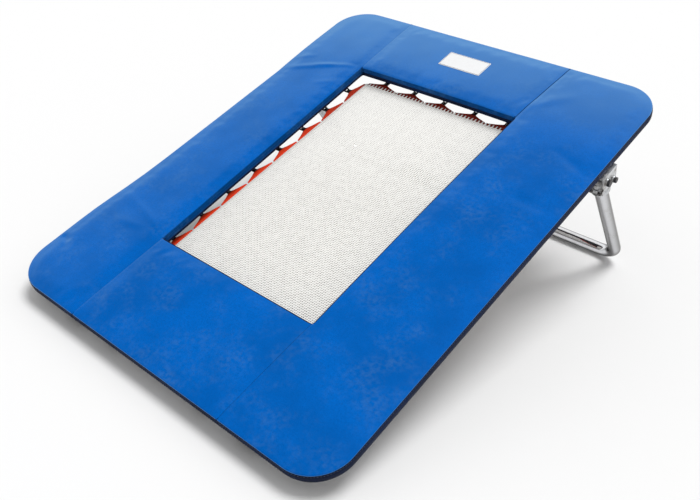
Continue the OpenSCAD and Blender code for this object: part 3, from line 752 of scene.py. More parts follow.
def stitches(name, paths, closed=False):
    """Stitches along each list of points."""
    finish, pitch, length, thread_d = STITCHES[name]
    points, edges = [], []
    for path in paths:
        first = len(points)
        points += list(path)
        edges += [(i, i + 1) for i in range(first, len(points) - 1)]
        if closed:
            edges.append((len(points) - 1, first))
    return grow(name, "Stitches", finish, make_mesh(name, points, [], edges),
                pitch=pitch, length=length, thread=thread_d)


def unit(steps):
    return steps / np.linalg.norm(steps, axis=1, keepdims=True)


def leftward(steps):
    """The unit steps that stand to the left of flat steps."""
    return unit(np.stack([-steps[:, 1], steps[:, 0]], 1))


def swept_mesh(name, path, section, closed=False):
    """A section, [(out, y)], moved along a flat path in X and Z."""
    path = np.asarray(path, float)
    ahead, behind = np.roll(path, -1, 0) - path, path - np.roll(path, 1, 0)
    if not closed:
        ahead[-1], behind[0] = behind[-1], ahead[0]
    ahead, behind = unit(ahead), unit(behind)
    out = leftward(ahead + behind)
    width = 1 / np.maximum(0.5, (out * leftward(ahead)).sum(1))
    along = np.concatenate([[0], np.cumsum(np.linalg.norm(np.diff(path, axis=0), axis=1))])
    sides = [math.dist(a, b) for a, b in zip(section, section[1:])]
    about = np.concatenate([[0], np.cumsum(sides)])
    points, uvs = [], []
    for place, normal, scale, u in zip(path, out, width, along):
        for (off, y), v in zip(section, about):
            x, z = place + normal * off * scale
            points.append((x, y, z))
            uvs.append((u, v))
    n, rings = len(section), len(path)
    faces = [
        (i * n + j, (i + 1) % rings * n + j, (i + 1) % rings * n + (j + 1) % n, i * n + (j + 1) % n)
        for i in range(rings if closed else rings - 1) for j in range(n)]
    if not closed:
        faces += [tuple(range(n)), tuple(reversed(range((rings - 1) * n, rings * n)))]
    return mapped_mesh(name, points, faces, uvs)


def strip_section(width, thickness, chamfer=0.0004):
    """Section of a flat strip: the thickness stands along the path's normal."""
    a, b, c = thickness / 2, width / 2, chamfer
    return [(-a, -b + c), (-a, b - c), (-a + c, b), (a - c, b),
            (a, b - c), (a, -b + c), (a - c, -b), (-a + c, -b)]


def turn_points(centre, radius, start, sweep, steps):
    """Points of a stretch of a circle, in radians, with both its ends."""
    angles = [start + sweep * i / steps for i in range(steps + 1)]
    return [(centre[0] + radius * math.cos(a), centre[1] + radius * math.sin(a)) for a in angles]


def straight_points(start, end, count):
    """Points between two places, without either."""
    start, end = np.array(start), np.array(end)
    return [tuple(start + (end - start) * i / count) for i in range(1, count)]


# ---------------------------------------------------------------- flat outlines

# kinds of edge: the pad's outer side, its opening without and with a dark rim, and three
# seams between its panels
OUTER, OPEN, DARK_RIM, DEEP_SEAM, FAINT_SEAM, FLUSH_SEAM = range(6)
FREE_EDGES = (OUTER, OPEN, DARK_RIM)


def run(kind, start, end, step):
    """Points from start up to, but without, end."""
    start, end = np.asarray(start, float), np.asarray(end, float)
    count = max(1, round(float(np.linalg.norm(end - start)) / step))
    return [(start + (end - start) * i / count, kind) for i in range(count)]


def arc(kind, centre, radius, from_deg, to_deg, step):
    count = max(2, round(radius * abs(math.radians(to_deg - from_deg)) / step))
    sweep = math.radians(to_deg - from_deg)
    points = turn_points(centre, radius, math.radians(from_deg), sweep, count)
    return [(np.array(point), kind) for point in points[:-1]]


def flipped(loop):
    """The same closed outline walked the other way, with each stretch's kind kept."""
    n = len(loop)
    return [(loop[n - 1 - i][0], loop[(n - 2 - i) % n][1]) for i in range(n)]


def ring_of(outline):
    """The points and the kinds of an outline, each as an array."""
    return np.array([p for p, _ in outline]), np.array([kind for _, kind in outline])


def inward(ring):
    """The inward step of each point of a counter-clockwise ring, longer at sharp corners."""
    before, after = leftward(ring - np.roll(ring, 1, 0)), leftward(np.roll(ring, -1, 0) - ring)
    return (before + after) / np.maximum(0.3, 1 + (before * after).sum(1))[:, None]


def line_place(points, start, end):
    """How far along a line each point lies, as a share of it, and how far from it."""
    step = end - start
    share = ((points - start) @ step) / (step @ step)
    near = start + np.clip(share, 0, 1)[:, None] * step
    return share, np.linalg.norm(points - near, axis=1)


def distance(points, ring, wanted=None):
    """Distance of each point from a closed ring, or from its wanted stretches."""
    best = np.full(len(points), 9.0)
    for i, (start, end) in enumerate(zip(ring, np.roll(ring, -1, 0))):
        if wanted is None or wanted[i]:
            best = np.minimum(best, line_place(points, start, end)[1])
    return best


def inside(points, ring):
    """Whether each point lies inside a closed ring."""
    found = np.zeros(len(points), bool)
    for (ax, ay), (bx, by) in zip(ring, np.roll(ring, -1, 0)):
        if ay != by:
            crosses = (ay > points[:, 1]) != (by > points[:, 1])
            found ^= crosses & (points[:, 0] < (bx - ax) * (points[:, 1] - ay) / (by - ay) + ax)
    return found


# spacing of the rows of even triangles, and how far these stay off an edge and off a hole's
# edge, as shares of their own spacing
ROW_SHARE, EDGE_SHARE, HOLE_SHARE = 0.866, 0.55, 0.4
LEAST_AREA = 2e-9  # slivers along a straight edge are smaller


def filled(boundary, holes, spacing):
    """Even triangles inside a boundary: its points first, then the holes' and the inner ones."""
    low, high = boundary.min(0), boundary.max(0)
    rows = np.arange(low[1], high[1], spacing * ROW_SHARE)
    spots = np.array([
        (x, y) for j, y in enumerate(rows)
        for x in np.arange(low[0] + (j % 2) * spacing / 2, high[0], spacing)])
    keep = inside(spots, boundary) & (distance(spots, boundary) > spacing * EDGE_SHARE)
    for hole in holes:
        keep &= ~inside(spots, hole) & (distance(spots, hole) > spacing * HOLE_SHARE)
    points = np.concatenate([boundary, *holes, spots[keep]])
    loops, first = [], 0
    for ring in (boundary, *holes):
        loops.append(list(range(first, first + len(ring))))
        first += len(ring)
    edges = [edge for loop in loops for edge in zip(loop, loop[1:] + loop[:1])]
    _, _, faces, sources, _, _ = geometry.delaunay_2d_cdt(
        [Vector(p) for p in points], edges, [], 0, 1e-7)
    triangles = np.array([[sources[i][0] for i in face] for face in faces])
    a, b, c = (points[triangles[:, i]] for i in range(3))
    area = np.abs((b - a)[:, 0] * (c - a)[:, 1] - (b - a)[:, 1] * (c - a)[:, 0]) / 2
    middles = (a + b + c) / 3
    good = inside(middles, boundary) & (area > LEAST_AREA)
    for hole in holes:
        good &= ~inside(middles, hole)
    return points, triangles[good].tolist(), loops


def fall(surface, spots):
    """Height of a surface under each spot, and 0 beside it."""
    hits = [surface.ray_cast(Vector((x, y, 1)), DOWN)[0] for x, y in spots]
    return np.array([hit.z if hit else 0.0 for hit in hits])


def lifted(spots, heights):
    """Flat spots at their heights; one height may serve all."""
    return [(x, y, z) for (x, y), z in zip(spots, np.broadcast_to(heights, len(spots)))]


# ---------------------------------------------------------------- surround pad

# folds of the cover: start, end, half width and rise, in millimetres in the pad's plane
FOLDS = (
    (-283, 408, -401, 354, 8, 1.7), (-352, 379, -473, 304, 10, 1.7),
    (-429, 394, -486, 359, 8, 0.8), (-288, 321, -347, 284, 9, 0.7),
    (-278, -365, -462, -322, 11, 1.5), (-327, -386, -417, -399, 11, 1.0),
    (-494, -517, -462, -518, 9, -3.0), (-474, -520, -444, -546, 12, -1.5),
    (385, 344, 504, 287, 14, -1.4), (362, 156, 503, 148, 16, -1.9),
    (416, 109, 500, 80, 14, -1.3), (215, 448, 318, 544, 18, 1.5),
)
# seams beside the corners of the opening, by panel and side: kind, and drop and half width
# in millimetres
SEAMS = {
    ("pad_far", 1): (DEEP_SEAM, 1.7, 2.6),
    ("pad_near", 1): (FAINT_SEAM, 0.5, 1.6),
    ("pad_far", -1): (FLUSH_SEAM, 0.1, 3.0),
    ("pad_near", -1): (FLUSH_SEAM, 0.1, 3.0),
}
ALONG = {"pad_far": 1, "pad_near": -1}  # which way a short panel lies from the opening
# rounding of the cover at the three kinds of seam, and half the gap between two panels
SEAM_ROLLS = (0.0012, 0.0005, 0.00008)
SEAM_GAP = 0.00015
# how far the left long edge stands out from the pad's plain rectangle, by place along it
LEFT_EDGE = ((-560, 10.0), (-450, 9.5), (-400, 8.2), (-350, 4.6), (-300, 0.2), (-240, -3.6),
             (-170, -5.0), (20, -5.8), (290, -5.2), (346, -1.7), (403, 0.9), (462, 2.2), (560, 2.0))
# how far each corner of the opening lies from its plain place, across and along
OPENING = {(-1, -1): (-1.0, 5.0), (1, -1): (0.0, 6.3), (1, 1): (-5.5, 1.0), (-1, 1): (6.0, -1.5)}
FAR_SEAM = (11.0, 0.0)  # outer end of the seam beyond the far right corner
# bow of the opening's sides that aren't straight
RIM_BOWS = {"pad_right": (-3.0, 0.0), "pad_far": (0.0, 3.0)}
ROLL_ANGLES = (22.5, 45, 67.5, 90)  # of the rows of points round a panel's rolled edge
DARK_RIM_ROLL = 1.3  # rounding of the dark rim, as a multiple of the outer edges'
# rows down a panel's side, under its rolled edge: inset of an outer side and of the
# opening's side, and depth, in millimetres
SIDE_ROWS = (
    (0.7, 0.4, 3.6), (0.1, 0.0, 4.3), (-0.8, -0.2, 8.0), (-1.4, -0.5, 13.0), (-1.0, -0.2, 18.0),
    (-0.6, 0.5, 20.4), (-0.3, 0.2, 21.2), (0.1, 0.1, 24.6), (1.0, 1.6, 26.0),
)
ROW_DROP = 0.0001  # least drop from a row to the next
# the sides' waviness: waves to the metre, seed, rounds of smoothing, and size in metres
WAVES, WAVE_SEED, WAVE_ROUNDS, WAVE_SIZE = 14, 2.7, 3, 0.0006
# a panel's materials; the first row of the darker vinyl, painted shade, by kind of side, where
# there is one, and of the black lining of the opening, by panel; the outer sides' black band starts
# at row 0
COVER, BLACK, BACKING, WALL = range(4)
WALL_ROWS = {OPEN: -2, DARK_RIM: -2, DEEP_SEAM: -4, FAINT_SEAM: -3, FLUSH_SEAM: -3}
LINING_ROWS = {"pad_left": 5, "pad_right": 5, "pad_far": 4, "pad_near": 5}
# the foam's unevenness: rise in metres, waves to the metre across and along, and seed
UNEVEN = ((0.0009, 6.5, 6.5, 0.3), (0.0004, 21, 17, 4.1))
# from a panel's edge, how fast the crown, the folds and the settling set in
CROWN_EASE, FOLD_EASE, CLOTH_EASE = 0.02, 0.006, 0.02
FOAM_DEPTH = 0.022  # of the foam under the settling cloth
CLOTH_INSET = 0.004  # of the settling cloth's edge from the panel's
CLOTH_STEPS = 20
# rows of stitches round the outer sides: inset and depth
EDGE_SEAMS = ((-0.0007, 0.0064), (-0.0006, 0.0222))


def panel_corner(node, across, along):
    """A corner of a short panel, which is also a corner of the opening on its inner side."""
    place = corner(node, across, along)
    if along != ALONG[node]:
        return place + np.array(OPENING[across, -along]) * MM
    if (node, across) == ("pad_far", 1):
        return place + np.array(FAR_SEAM) * MM
    return place


def bowed(stretch, node):
    """Bends a straight stretch of a panel's outline by its bow in its middle."""
    bow = np.array(RIM_BOWS.get(node, (0.0, 0.0))) * MM
    return [(p + bow * math.sin(math.pi * i / len(stretch)), kind)
            for i, (p, kind) in enumerate(stretch)]


def fold_height(points):
    """Rise of the folds at each point of the pad's plane, in metres."""
    height = np.zeros(len(points))
    for ax, ay, bx, by, width, rise in FOLDS:
        share, off = line_place(points, np.array([ax, ay]) * MM, np.array([bx, by]) * MM)
        # a fold fades out at both its ends
        fade = np.sin(math.pi * np.clip(share * 0.86 + 0.07, 0, 1)) ** 0.7
        height += rise * MM * fade * np.exp(-(off / (width * MM)) ** 2)
    return height


def slow_height(points):
    """Gentle unevenness of foam under its cover, in metres."""
    return np.array([
        sum(rise * noise.noise(Vector((x * across, y * along, seed)))
            for rise, across, along, seed in UNEVEN)
        for x, y in points])


def seam_height(points):
    """Drop of the cover beside the seams between its panels."""
    height = np.zeros(len(points))
    for (node, across), (_, depth, width) in SEAMS.items():
        inner, outer = (panel_corner(node, across, way * ALONG[node]) for way in (-1, 1))
        share, off = line_place(points, inner, outer)
        # a seam is shallower near its outer end
        fade = np.clip((1 - np.clip(share, 0, 1)) * 6, 0.35, 1)
        height -= depth * MM * fade * np.exp(-(off / (width * MM)) ** 2)
    return height


def long_outline(node, step):
    """Outline of a long panel with two rounded outer corners."""
    left = node == "pad_left"
    sign, rim = (-1, OPEN) if left else (1, DARK_RIM)
    outer = (PAD_LOW if left else PAD_HIGH)[0]
    near, far, r = PAD_LOW[1], PAD_HIGH[1], settings("surround").corner
    gap = np.array((SEAM_GAP * sign, 0))
    in_near = panel_corner("pad_near", sign, 1) + gap
    in_far = panel_corner("pad_far", sign, -1) + gap
    x0 = panel_corner("pad_near", sign, -1)[0] + gap[0]
    x1 = panel_corner("pad_far", sign, 1)[0] + gap[0]

    def out_x(y):
        along = (y - (near + far) / 2) / MM
        return outer - float(np.interp(along, *zip(*LEFT_EDGE))) * MM if left else outer
    centre_near, centre_far = out_x(near + r) - sign * r, out_x(far - r) - sign * r
    straight = far - near - 2 * r
    count = round(straight / step)
    turn = -90 * sign
    loop = run(SEAMS["pad_near", sign][0], (x0, near), in_near, step)
    loop += bowed(run(rim, in_near, in_far, step), node)
    loop += run(SEAMS["pad_far", sign][0], in_far, (x1, far), step)
    loop += run(OUTER, (x1, far), (centre_far, far), step)
    loop += arc(OUTER, (centre_far, far - r), r, 90, 90 + turn, step)
    for i in range(count):
        y = far - r - straight * i / count
        loop.append((np.array([out_x(y), y]), OUTER))
    loop += arc(OUTER, (centre_near, near + r), r, 90 + turn, 90 + 2 * turn, step)
    loop += run(OUTER, (centre_near, near), (x0, near), step)
    return loop if left else flipped(loop)


def short_outline(node, step):
    """Outline of a short panel between the long ones."""
    left, right = SEAMS[node, -1][0], SEAMS[node, 1][0]
    kinds = (OPEN, right, OUTER, left) if node == "pad_far" else (OUTER, right, DARK_RIM, left)
    corners = [panel_corner(node, x, y) for x, y in ((-1, -1), (1, -1), (1, 1), (-1, 1))]
    loop = []
    for kind, start, end in zip(kinds, corners, corners[1:] + corners[:1]):
        stretch = run(kind, start, end, step)
        loop += bowed(stretch, node) if kind in (OPEN, DARK_RIM) else stretch
    return loop


def smoothed(values, rounds):
    """Values round a closed loop, each averaged with its neighbours a number of times."""
    for _ in range(rounds):
        values = (np.roll(values, 1) + 2 * values + np.roll(values, -1)) / 4
    return values


def side_mark(node, kind, row):
    """The material of a row of a panel's side; rows of the rolled edge are negative."""
    black_from = 0 if kind == OUTER else LINING_ROWS[node]
    # the dark rim's rolled rows take the black edging
    if row >= black_from or (kind == DARK_RIM and row < 0):
        return BLACK
    # the darker vinyl on the walls is painted shade
    return WALL if row >= WALL_ROWS.get(kind, black_from) else COVER


def edge_rolls(kinds):
    """Rounding of the cover's edge at each point of a panel's outline."""
    sizes = settings("surround")
    rolls = np.array([sizes.roll, sizes.shoulder, sizes.roll * DARK_RIM_ROLL, *SEAM_ROLLS])[kinds]
    return (rolls + np.roll(rolls, 1)) / 2


def panel_rows(ring, kinds, rolls, edge_z):
    """Rings of points down a panel's side: first the rolled edge, then the side itself."""
    step = inward(ring)
    rows = []
    for angle in map(math.radians, ROLL_ANGLES):
        inset = rolls * (1 - math.sin(angle))
        rows.append(lifted(ring + step * inset[:, None], edge_z - rolls * (1 - math.cos(angle))))
    outer = (kinds == OUTER).astype(float)
    opening = ((kinds == OPEN) | (kinds == DARK_RIM)).astype(float)
    wave = smoothed(
        np.array([noise.noise(Vector((*p * WAVES, WAVE_SEED))) for p in ring]), WAVE_ROUNDS)
    for outer_in, open_in, depth in SIDE_ROWS:
        belly = math.sin(math.pi * min(1, depth * MM / -PAD_LOW[2]))
        inset = (outer_in * outer + open_in * opening) * MM
        inset -= wave * belly * WAVE_SIZE * (outer + opening)
        under = edge_z - rolls - len(rows) * ROW_DROP
        rows.append(lifted(ring + step * inset[:, None], np.minimum(-depth * MM, under)))
    return rows


def pad_panel(node, outline):
    """A panel of the pad: vinyl top rolled over its edges, side band and backing."""
    ring, kinds = ring_of(outline)
    n, rolls = len(ring), edge_rolls(kinds)
    spread, faces, _ = filled(ring + inward(ring) * rolls[:, None], [], settings("surround").grid)
    top_z = cover_height(node, ring, kinds, spread)
    points = lifted(spread, top_z)
    marks = [COVER] * len(faces)
    above = 0
    rows = panel_rows(ring, kinds, rolls, top_z[:n])
    for row, spots in enumerate(rows, -len(ROLL_ANGLES)):
        below = len(points)
        points += spots
        for i in range(n):
            j = (i + 1) % n
            faces.append((above + i, below + i, below + j, above + j))
            marks.append(side_mark(node, kinds[i], row))
        above = below
    faces.append(tuple(reversed(range(above, above + n))))
    marks.append(BACKING)
    mesh = make_mesh(node, points, faces)
    mesh.polygons[len(faces) - 1].use_smooth = False
    made = mesh_object(node + "_cover", mesh, "vinyl_cover", "black_edging", "backing_cloth",
                       "vinyl_wall")
    mesh.polygons.foreach_set("material_index", marks)
    return made


def cover_height(node, ring, kinds, spots):
    """Height of the cover over the pad's plane at each spot of a panel."""
    sizes = settings("surround")

    def plain(points):
        free = distance(points, ring, np.isin(kinds, FREE_EDGES))
        crown = sizes.crown * (1 - np.exp(-np.maximum(0, free - sizes.roll) / CROWN_EASE))
        ease = 1 - np.exp(-(free / FOLD_EASE) ** 2)
        return crown + (slow_height(points) + fold_height(points)) * ease + seam_height(points)
    start = plain(spots)
    coarse, triangles, _ = filled(ring + inward(ring) * CLOTH_INSET, [], sizes.cloth_grid)
    before = plain(coarse)
    after = swell_cloth(node, coarse, triangles, before)
    change = np.clip(after - before, -sizes.swell, sizes.swell)
    change *= 1 - np.exp(-(distance(coarse, ring) / CLOTH_EASE) ** 2)
    return start + fall(BVHTree.FromPolygons(lifted(coarse, change), triangles), spots)


def swell_cloth(node, spots, triangles, heights):
    """Lets a panel's cover, a little too large for it, settle under the push of its foam."""
    sizes = settings("surround")
    count = len(spots)
    rim = boundary_edges(triangles)
    points = lifted(spots, heights) + lifted(spots, -FOAM_DEPTH)
    faces = triangles + [[i + count for i in reversed(t)] for t in triangles]
    faces += [(b, a, a + count, b + count) for a, b in rim]
    cloth = new_object(node + "_cloth", make_mesh(node + "_cloth", points, faces))
    held = cloth.vertex_groups.new(name="Held")
    held.add([a for a, _ in rim] + list(range(count, 2 * count)), 1.0, "REPLACE")
    physics = cloth.modifiers.new("Cloth", "CLOTH")
    cover = physics.settings
    cover.vertex_group_mass = "Held"
    cover.effector_weights.gravity = 0
    cover.use_pressure = True
    cover.uniform_pressure_force = 4
    cover.mass = 0.4
    cover.tension_stiffness = cover.compression_stiffness = 30
    cover.shear_stiffness = 12
    cover.bending_stiffness = 4
    cover.shrink_min = cover.shrink_max = -sizes.cloth_spare
    cover.quality = 6
    physics.collision_settings.use_collision = False
    physics.collision_settings.use_self_collision = False
    scene = bpy.context.scene
    for number in range(1, CLOTH_STEPS + 1):
        scene.frame_set(number)
    evaluated = cloth.evaluated_get(bpy.context.evaluated_depsgraph_get())
    settled = np.array([evaluated.data.vertices[i].co.z for i in range(count)])
    scene.frame_set(1)
    bpy.data.objects.remove(cloth)
    return settled


def boundary_edges(triangles):
    """Directed edges that only one triangle has."""
    found = dict.fromkeys(edge for a, b, c in triangles for edge in ((a, b), (b, c), (c, a)))
    return [edge for edge in found if (edge[1], edge[0]) not in found]


class TRAMP_OT_surround(bpy.types.Operator):
    """Makes the four panels of the surround pad and their seams"""
    bl_idname = "trampoline.surround"
    bl_label = "Surround Pad"

    def execute(self, context):
        step = settings("surround").grid
        paths = []
        for node, outliner in (("pad_left", long_outline), ("pad_right", long_outline),
                               ("pad_far", short_outline), ("pad_near", short_outline)):
            outline = outliner(node, step)
            panel = settle(pad_panel(node, outline), STAND, "frame", "vinyl_cover", node)
            ring, kinds = ring_of(outline)
            out = inward(ring)
            first = next(i for i, kind in enumerate(kinds)
                         if kind == OUTER and kinds[i - 1] != OUTER)
            walk = [i % len(ring) for i in range(first, first + len(ring))]
            walk = [i for i in walk if kinds[i] == OUTER]
            for inset, depth in EDGE_SEAMS:
                paths.append(lifted(ring[walk] + out[walk] * inset, -depth))
        settle(stitches("edging_stitches", paths), STAND, "frame", "grey_thread")
        return {"FINISHED"}


# ---------------------------------------------------------------- label and straps

def rounded_box(width, height, radius, step):
    x, y = width / 2 - radius, height / 2 - radius
    centres = [(x, -y), (x, y), (-x, y), (-x, -y)]
    loop = []
    for i, (here, after) in enumerate(zip(centres, centres[1:] + centres[:1])):
        end = math.radians(90 * i)
        out = radius * np.array([math.cos(end), math.sin(end)])
        loop += arc(OUTER, here, radius, 90 * i - 90, 90 * i, step)
        loop += run(OUTER, here + out, after + out, step)
    return loop


def slab(name, outline, holes, thickness, roll, spacing, lift=None):
    """A flat piece of cloth or webbing with softly rounded edges, centred on Z = 0."""
    ring, _ = ring_of(outline)
    inner, triangles, loops = filled(ring + inward(ring) * roll, holes, spacing)
    bend = lift(inner) if lift else np.zeros(len(inner))
    half, n, total = thickness / 2, len(ring), len(inner)
    points = lifted(inner, bend + half) + lifted(inner, bend - half)
    for share in (0.45, -0.45):
        points += lifted(ring, bend[:n] + share * thickness)
    faces = triangles + [[i + total for i in reversed(t)] for t in triangles]
    starts = (0, 2 * total, 2 * total + n, total)
    for upper, lower in zip(starts, starts[1:]):
        for i in range(n):
            j = (i + 1) % n
            faces.append((upper + i, lower + i, lower + j, upper + j))
    for loop in loops[1:]:
        faces += [(a, b, b + total, a + total) for a, b in zip(loop, loop[1:] + loop[:1])]
    return mapped_mesh(name, points, faces, points)


LABEL_GAP = 0.0001  # between the label and the cover under it
LABEL_THREAD_LIFT = 0.0003


class TRAMP_OT_label(bpy.types.Operator):
    """Makes the blank label patch with its sewn border"""
    bl_idname = "trampoline.label"
    bl_label = "Label Patch"

    def execute(self, context):
        points = flat("label_patch")
        low, high = points.min(0), points.max(0)
        middle = Vector((low + high) / 2)
        width, height, thickness = (float(v) for v in high - low)
        cover = bpy.data.objects["pad_far_cover"].data
        surface = BVHTree.FromPolygons([STAND.inverted() @ v.co for v in cover.vertices],
                                       [tuple(face.vertices) for face in cover.polygons])

        def lift(spots):
            return fall(surface, np.asarray(spots) + middle[:2]) + LABEL_GAP - low[2]
        place = STAND @ Matrix.Translation(middle)
        outline = rounded_box(width, height, radius=0.002, step=0.002)
        patch = slab("label_patch", outline, [], thickness, roll=0.0004, spacing=0.004, lift=lift)
        settle(mesh_object("label_patch_cloth", patch, "label_face"), place, "frame",
               "label_face", "label_patch")
        border, _ = ring_of(rounded_box(width - 0.004, height - 0.004, radius=0.0015, step=0.002))
        path = lifted(border, lift(border) + thickness / 2 + LABEL_THREAD_LIFT)
        settle(stitches("label_stitches", [path], closed=True), place, "frame", "dark_thread")
        return {"FINISHED"}


def islands(node):
    """Middle and size of each separate solid of a CAD node, in the pad's plane."""
    linked = bmesh.new()
    linked.from_mesh(frame["nodes"][node].data)
    bmesh.ops.remove_doubles(linked, verts=linked.verts, dist=1e-5)
    inverse = STAND.inverted()
    seen, found = set(), []
    for start in linked.verts:
        if start in seen:
            continue
        seen.add(start)
        stack, group = [start], []
        while stack:
            vert = stack.pop()
            group.append(inverse @ vert.co)
            others = {edge.other_vert(vert) for edge in vert.link_edges} - seen
            seen |= others
            stack += others
        low, high = np.min(group, 0), np.max(group, 0)
        found.append((Vector((low + high) / 2), Vector(high - low)))
    linked.free()
    return found


STRAP_BEND = 0.0179  # radius of a strap's turn round the frame tube
STRAP_KINK = 0.001  # size of the bend where a strap leaves the pad
# how far the sewn box stays off the strap's turn, its end and its sides
BOX_OFF_TURN, BOX_OFF_END, BOX_OFF_SIDE = 0.004, 0.002, 0.003


class TRAMP_OT_straps(bpy.types.Operator):
    """Makes the webbing straps that hold the pad on the frame tube"""
    bl_idname = "trampoline.straps"
    bl_label = "Pad Straps"

    def execute(self, context):
        sizes = settings("metalwork")
        whole, sewing = bmesh.new(), []
        for middle, extent in islands("pad_straps"):
            across = abs(extent.x - sizes.strap_w) < abs(extent.y - sizes.strap_w)
            reach = max(extent.x, extent.y) / 2
            top = (extent.z - sizes.strap_t) / 2
            bottom = (0, STRAP_BEND - top)
            path = [(-reach, top), (-STRAP_BEND - STRAP_KINK, top),
                    (-STRAP_BEND, top - STRAP_KINK)]
            path += turn_points(bottom, STRAP_BEND, math.pi, math.pi, 16)
            path += [(-x, z) for x, z in reversed(path[:3])]
            place = Matrix.Translation(middle)
            place @= Matrix.Rotation(math.radians(90 if across else 0), 4, "Z")
            mesh = swept_mesh("strap", path, strip_section(sizes.strap_w, sizes.strap_t))
            mesh.transform(place)
            whole.from_mesh(mesh)
            under, y = top - sizes.strap_t / 2 - THREAD_LIFT, sizes.strap_w / 2 - BOX_OFF_SIDE
            for side in (-1, 1):
                x0, x1 = side * (STRAP_BEND + BOX_OFF_TURN), side * (reach - BOX_OFF_END)
                box = [(x0, -y), (x1, -y), (x1, y), (x0, y), (x0, -y), (x1, y)]
                sewing.append([place @ Vector((*spot, under)) for spot in box])
        joined = bpy.data.meshes.new("pad_straps")
        whole.to_mesh(joined)
        whole.free()
        settle(mesh_object("pad_straps_webbing", joined, "strap_cloth"), STAND, "frame",
               "strap_cloth", "pad_straps")
        settle(stitches("strap_stitches", sewing), STAND, "frame", "grey_thread")
        return {"FINISHED"}


# ---------------------------------------------------------------- bed

STRING_RISE = 0.42  # of a string to each side, as a share of its thickness
# how far the strings' loops stand out from the bed's edge, and of how many strings one loops
EDGE_LOOPS = {"left": (-0.0024, 1), "right": (-0.0024, 1), "far": (0.0036, 2), "near": (0.0036, 2)}
EDGE_LOOP_T = 0.0011  # thickness of a string in its loop
BARE_EDGE = 0.012  # length of a side without loops


class TRAMP_OT_bed(bpy.types.Operator):
    """Weaves the bed and loops its strings over the edge"""
    bl_idname = "trampoline.bed"
    bl_label = "Woven Bed"

    def execute(self, context):
        sizes = settings("bed_cloth")
        counts = [round(bed_size(axis) / sizes.pitch) for axis in (0, 1)]
        pitches = [bed_size(axis) / counts[axis] for axis in (0, 1)]
        middle = STAND @ Matrix.Translation((0, 0, -BED_DEPTH))
        for name, own, other, seed in (("bed_warp", 0, 1, 3), ("bed_weft", 1, 0, 8)):
            strings = grow(
                name, "Woven strings", "woven_string", strings=counts[own],
                crossings=counts[other], string_pitch=pitches[own],
                crossing_pitch=pitches[other], width=sizes.string_w, thickness=sizes.string_t,
                rise=sizes.string_t * STRING_RISE, phase=own, seed=seed)
            turn = Matrix.Rotation(math.radians(90 * own), 4, "Z")
            settle(strings, middle @ turn, "bed", "woven_string", "bed")
        for side, (reach, every) in EDGE_LOOPS.items():
            axis, _ = side_axes(side)
            pitch = every * pitches[axis]
            count = int((bed_size(axis) - BARE_EDGE) / pitch)
            row = grow(f"edge_loops_{side}", "Row of copies", "woven_string",
                       self.edge_loop(sizes, reach), count=count, pitch=pitch)
            settle(row, side_matrix(side), "bed", "woven_string")
        return {"FINISHED"}

    def edge_loop(self, sizes, reach):
        """One string's turn round the edge, which stands out from it by its reach."""
        lift = sizes.tab_t / 2 + EDGE_LOOP_T
        rise = min(reach - 0.0024, 0) - 0.0002
        upper = [(rise - 0.008, 0.0008), (rise - 0.004, lift * 0.8), (rise, lift),
                 (reach - 0.0014, lift * 0.92), (reach - 0.0003, lift * 0.5)]
        path = upper + [(reach, 0)] + [(x, -z) for x, z in reversed(upper)]
        return swept_mesh("edge_loop", path, strip_section(sizes.tooth_w, EDGE_LOOP_T))


EYELET, EYELET_R, EYELET_SIDES = (0.0198, 0.0), 0.0029, 16


class TRAMP_OT_tabs(bpy.types.Operator):
    """Makes the webbing tabs along the bed's edges"""
    bl_idname = "trampoline.tabs"
    bl_label = "Webbing Tabs"

    def execute(self, context):
        sizes = settings("bed_cloth")
        eyelet = np.array(turn_points(EYELET, EYELET_R, math.tau / EYELET_SIDES, math.tau,
                                      EYELET_SIDES)[:-1])
        tab = slab("tab", self.outline(sizes.tab_w, sizes.tab_h, sizes.tab_tip), [eyelet],
                   sizes.tab_t, roll=0.0007, spacing=0.0035)
        half, z = sizes.tab_w / 2, sizes.tab_t / 2 + THREAD_LIFT
        # half of the seam and of the hem, out from the bed and beside the tab's middle
        seam = [(0.0068, -half * 0.62), (0.0125, -0.0125), (0.0150, -0.0050)]
        hem = [(0.0066, -half * 0.6)]
        sewing = stitches("tab_sewing", [
            lifted(line + [(x, -y) for x, y in reversed(line)], height)
            for height in (z, -z) for line in (seam, hem)])
        for side in SIDES:
            node = f"bed_tabs_{side}"
            extent = np.ptp(flat(node)[:, side_axes(side)[0]])
            count = round((extent - sizes.tab_w) / sizes.tab_pitch) + 1
            for name, base, finish, stands_for in (
                    (f"tabs_{side}", tab, "tab_webbing", (node,)),
                    (f"tab_stitches_{side}", sewing.data, "red_thread", ())):
                row = grow(name, "Row of copies", finish, base.copy(), count=count,
                           pitch=sizes.tab_pitch)
                settle(row, side_matrix(side), "bed", finish, *stands_for)
        bpy.data.objects.remove(sewing)
        return {"FINISHED"}

    def outline(self, width, height, tip):
        """A three-cornered tab with a blunt tip, its base lapped over the bed's edge, X = 0."""
        corners = [(-0.0036, -width / 2), (0.0026, -width / 2), (0.0045, -width * 0.45),
                   (0.0105, -width * 0.24), (0.0160, -width * 0.10), (0.0185, -tip / 2),
                   (height - 0.0012, -tip / 2), (height, -tip / 2 + 0.0014)]
        corners += [(x, -y) for x, y in reversed(corners)]
        loop = []
        for start, end in zip(corners, corners[1:] + corners[:1]):
            loop += run(OUTER, start, end, 0.003)
        return loop


# ---------------------------------------------------------------- suspension

LINK_BEND = 0.00645  # radius of a cable's turn in its link
CABLE_SIDES = 12
STRAIGHT_STEPS = 12  # steps along a cable's straight stretch


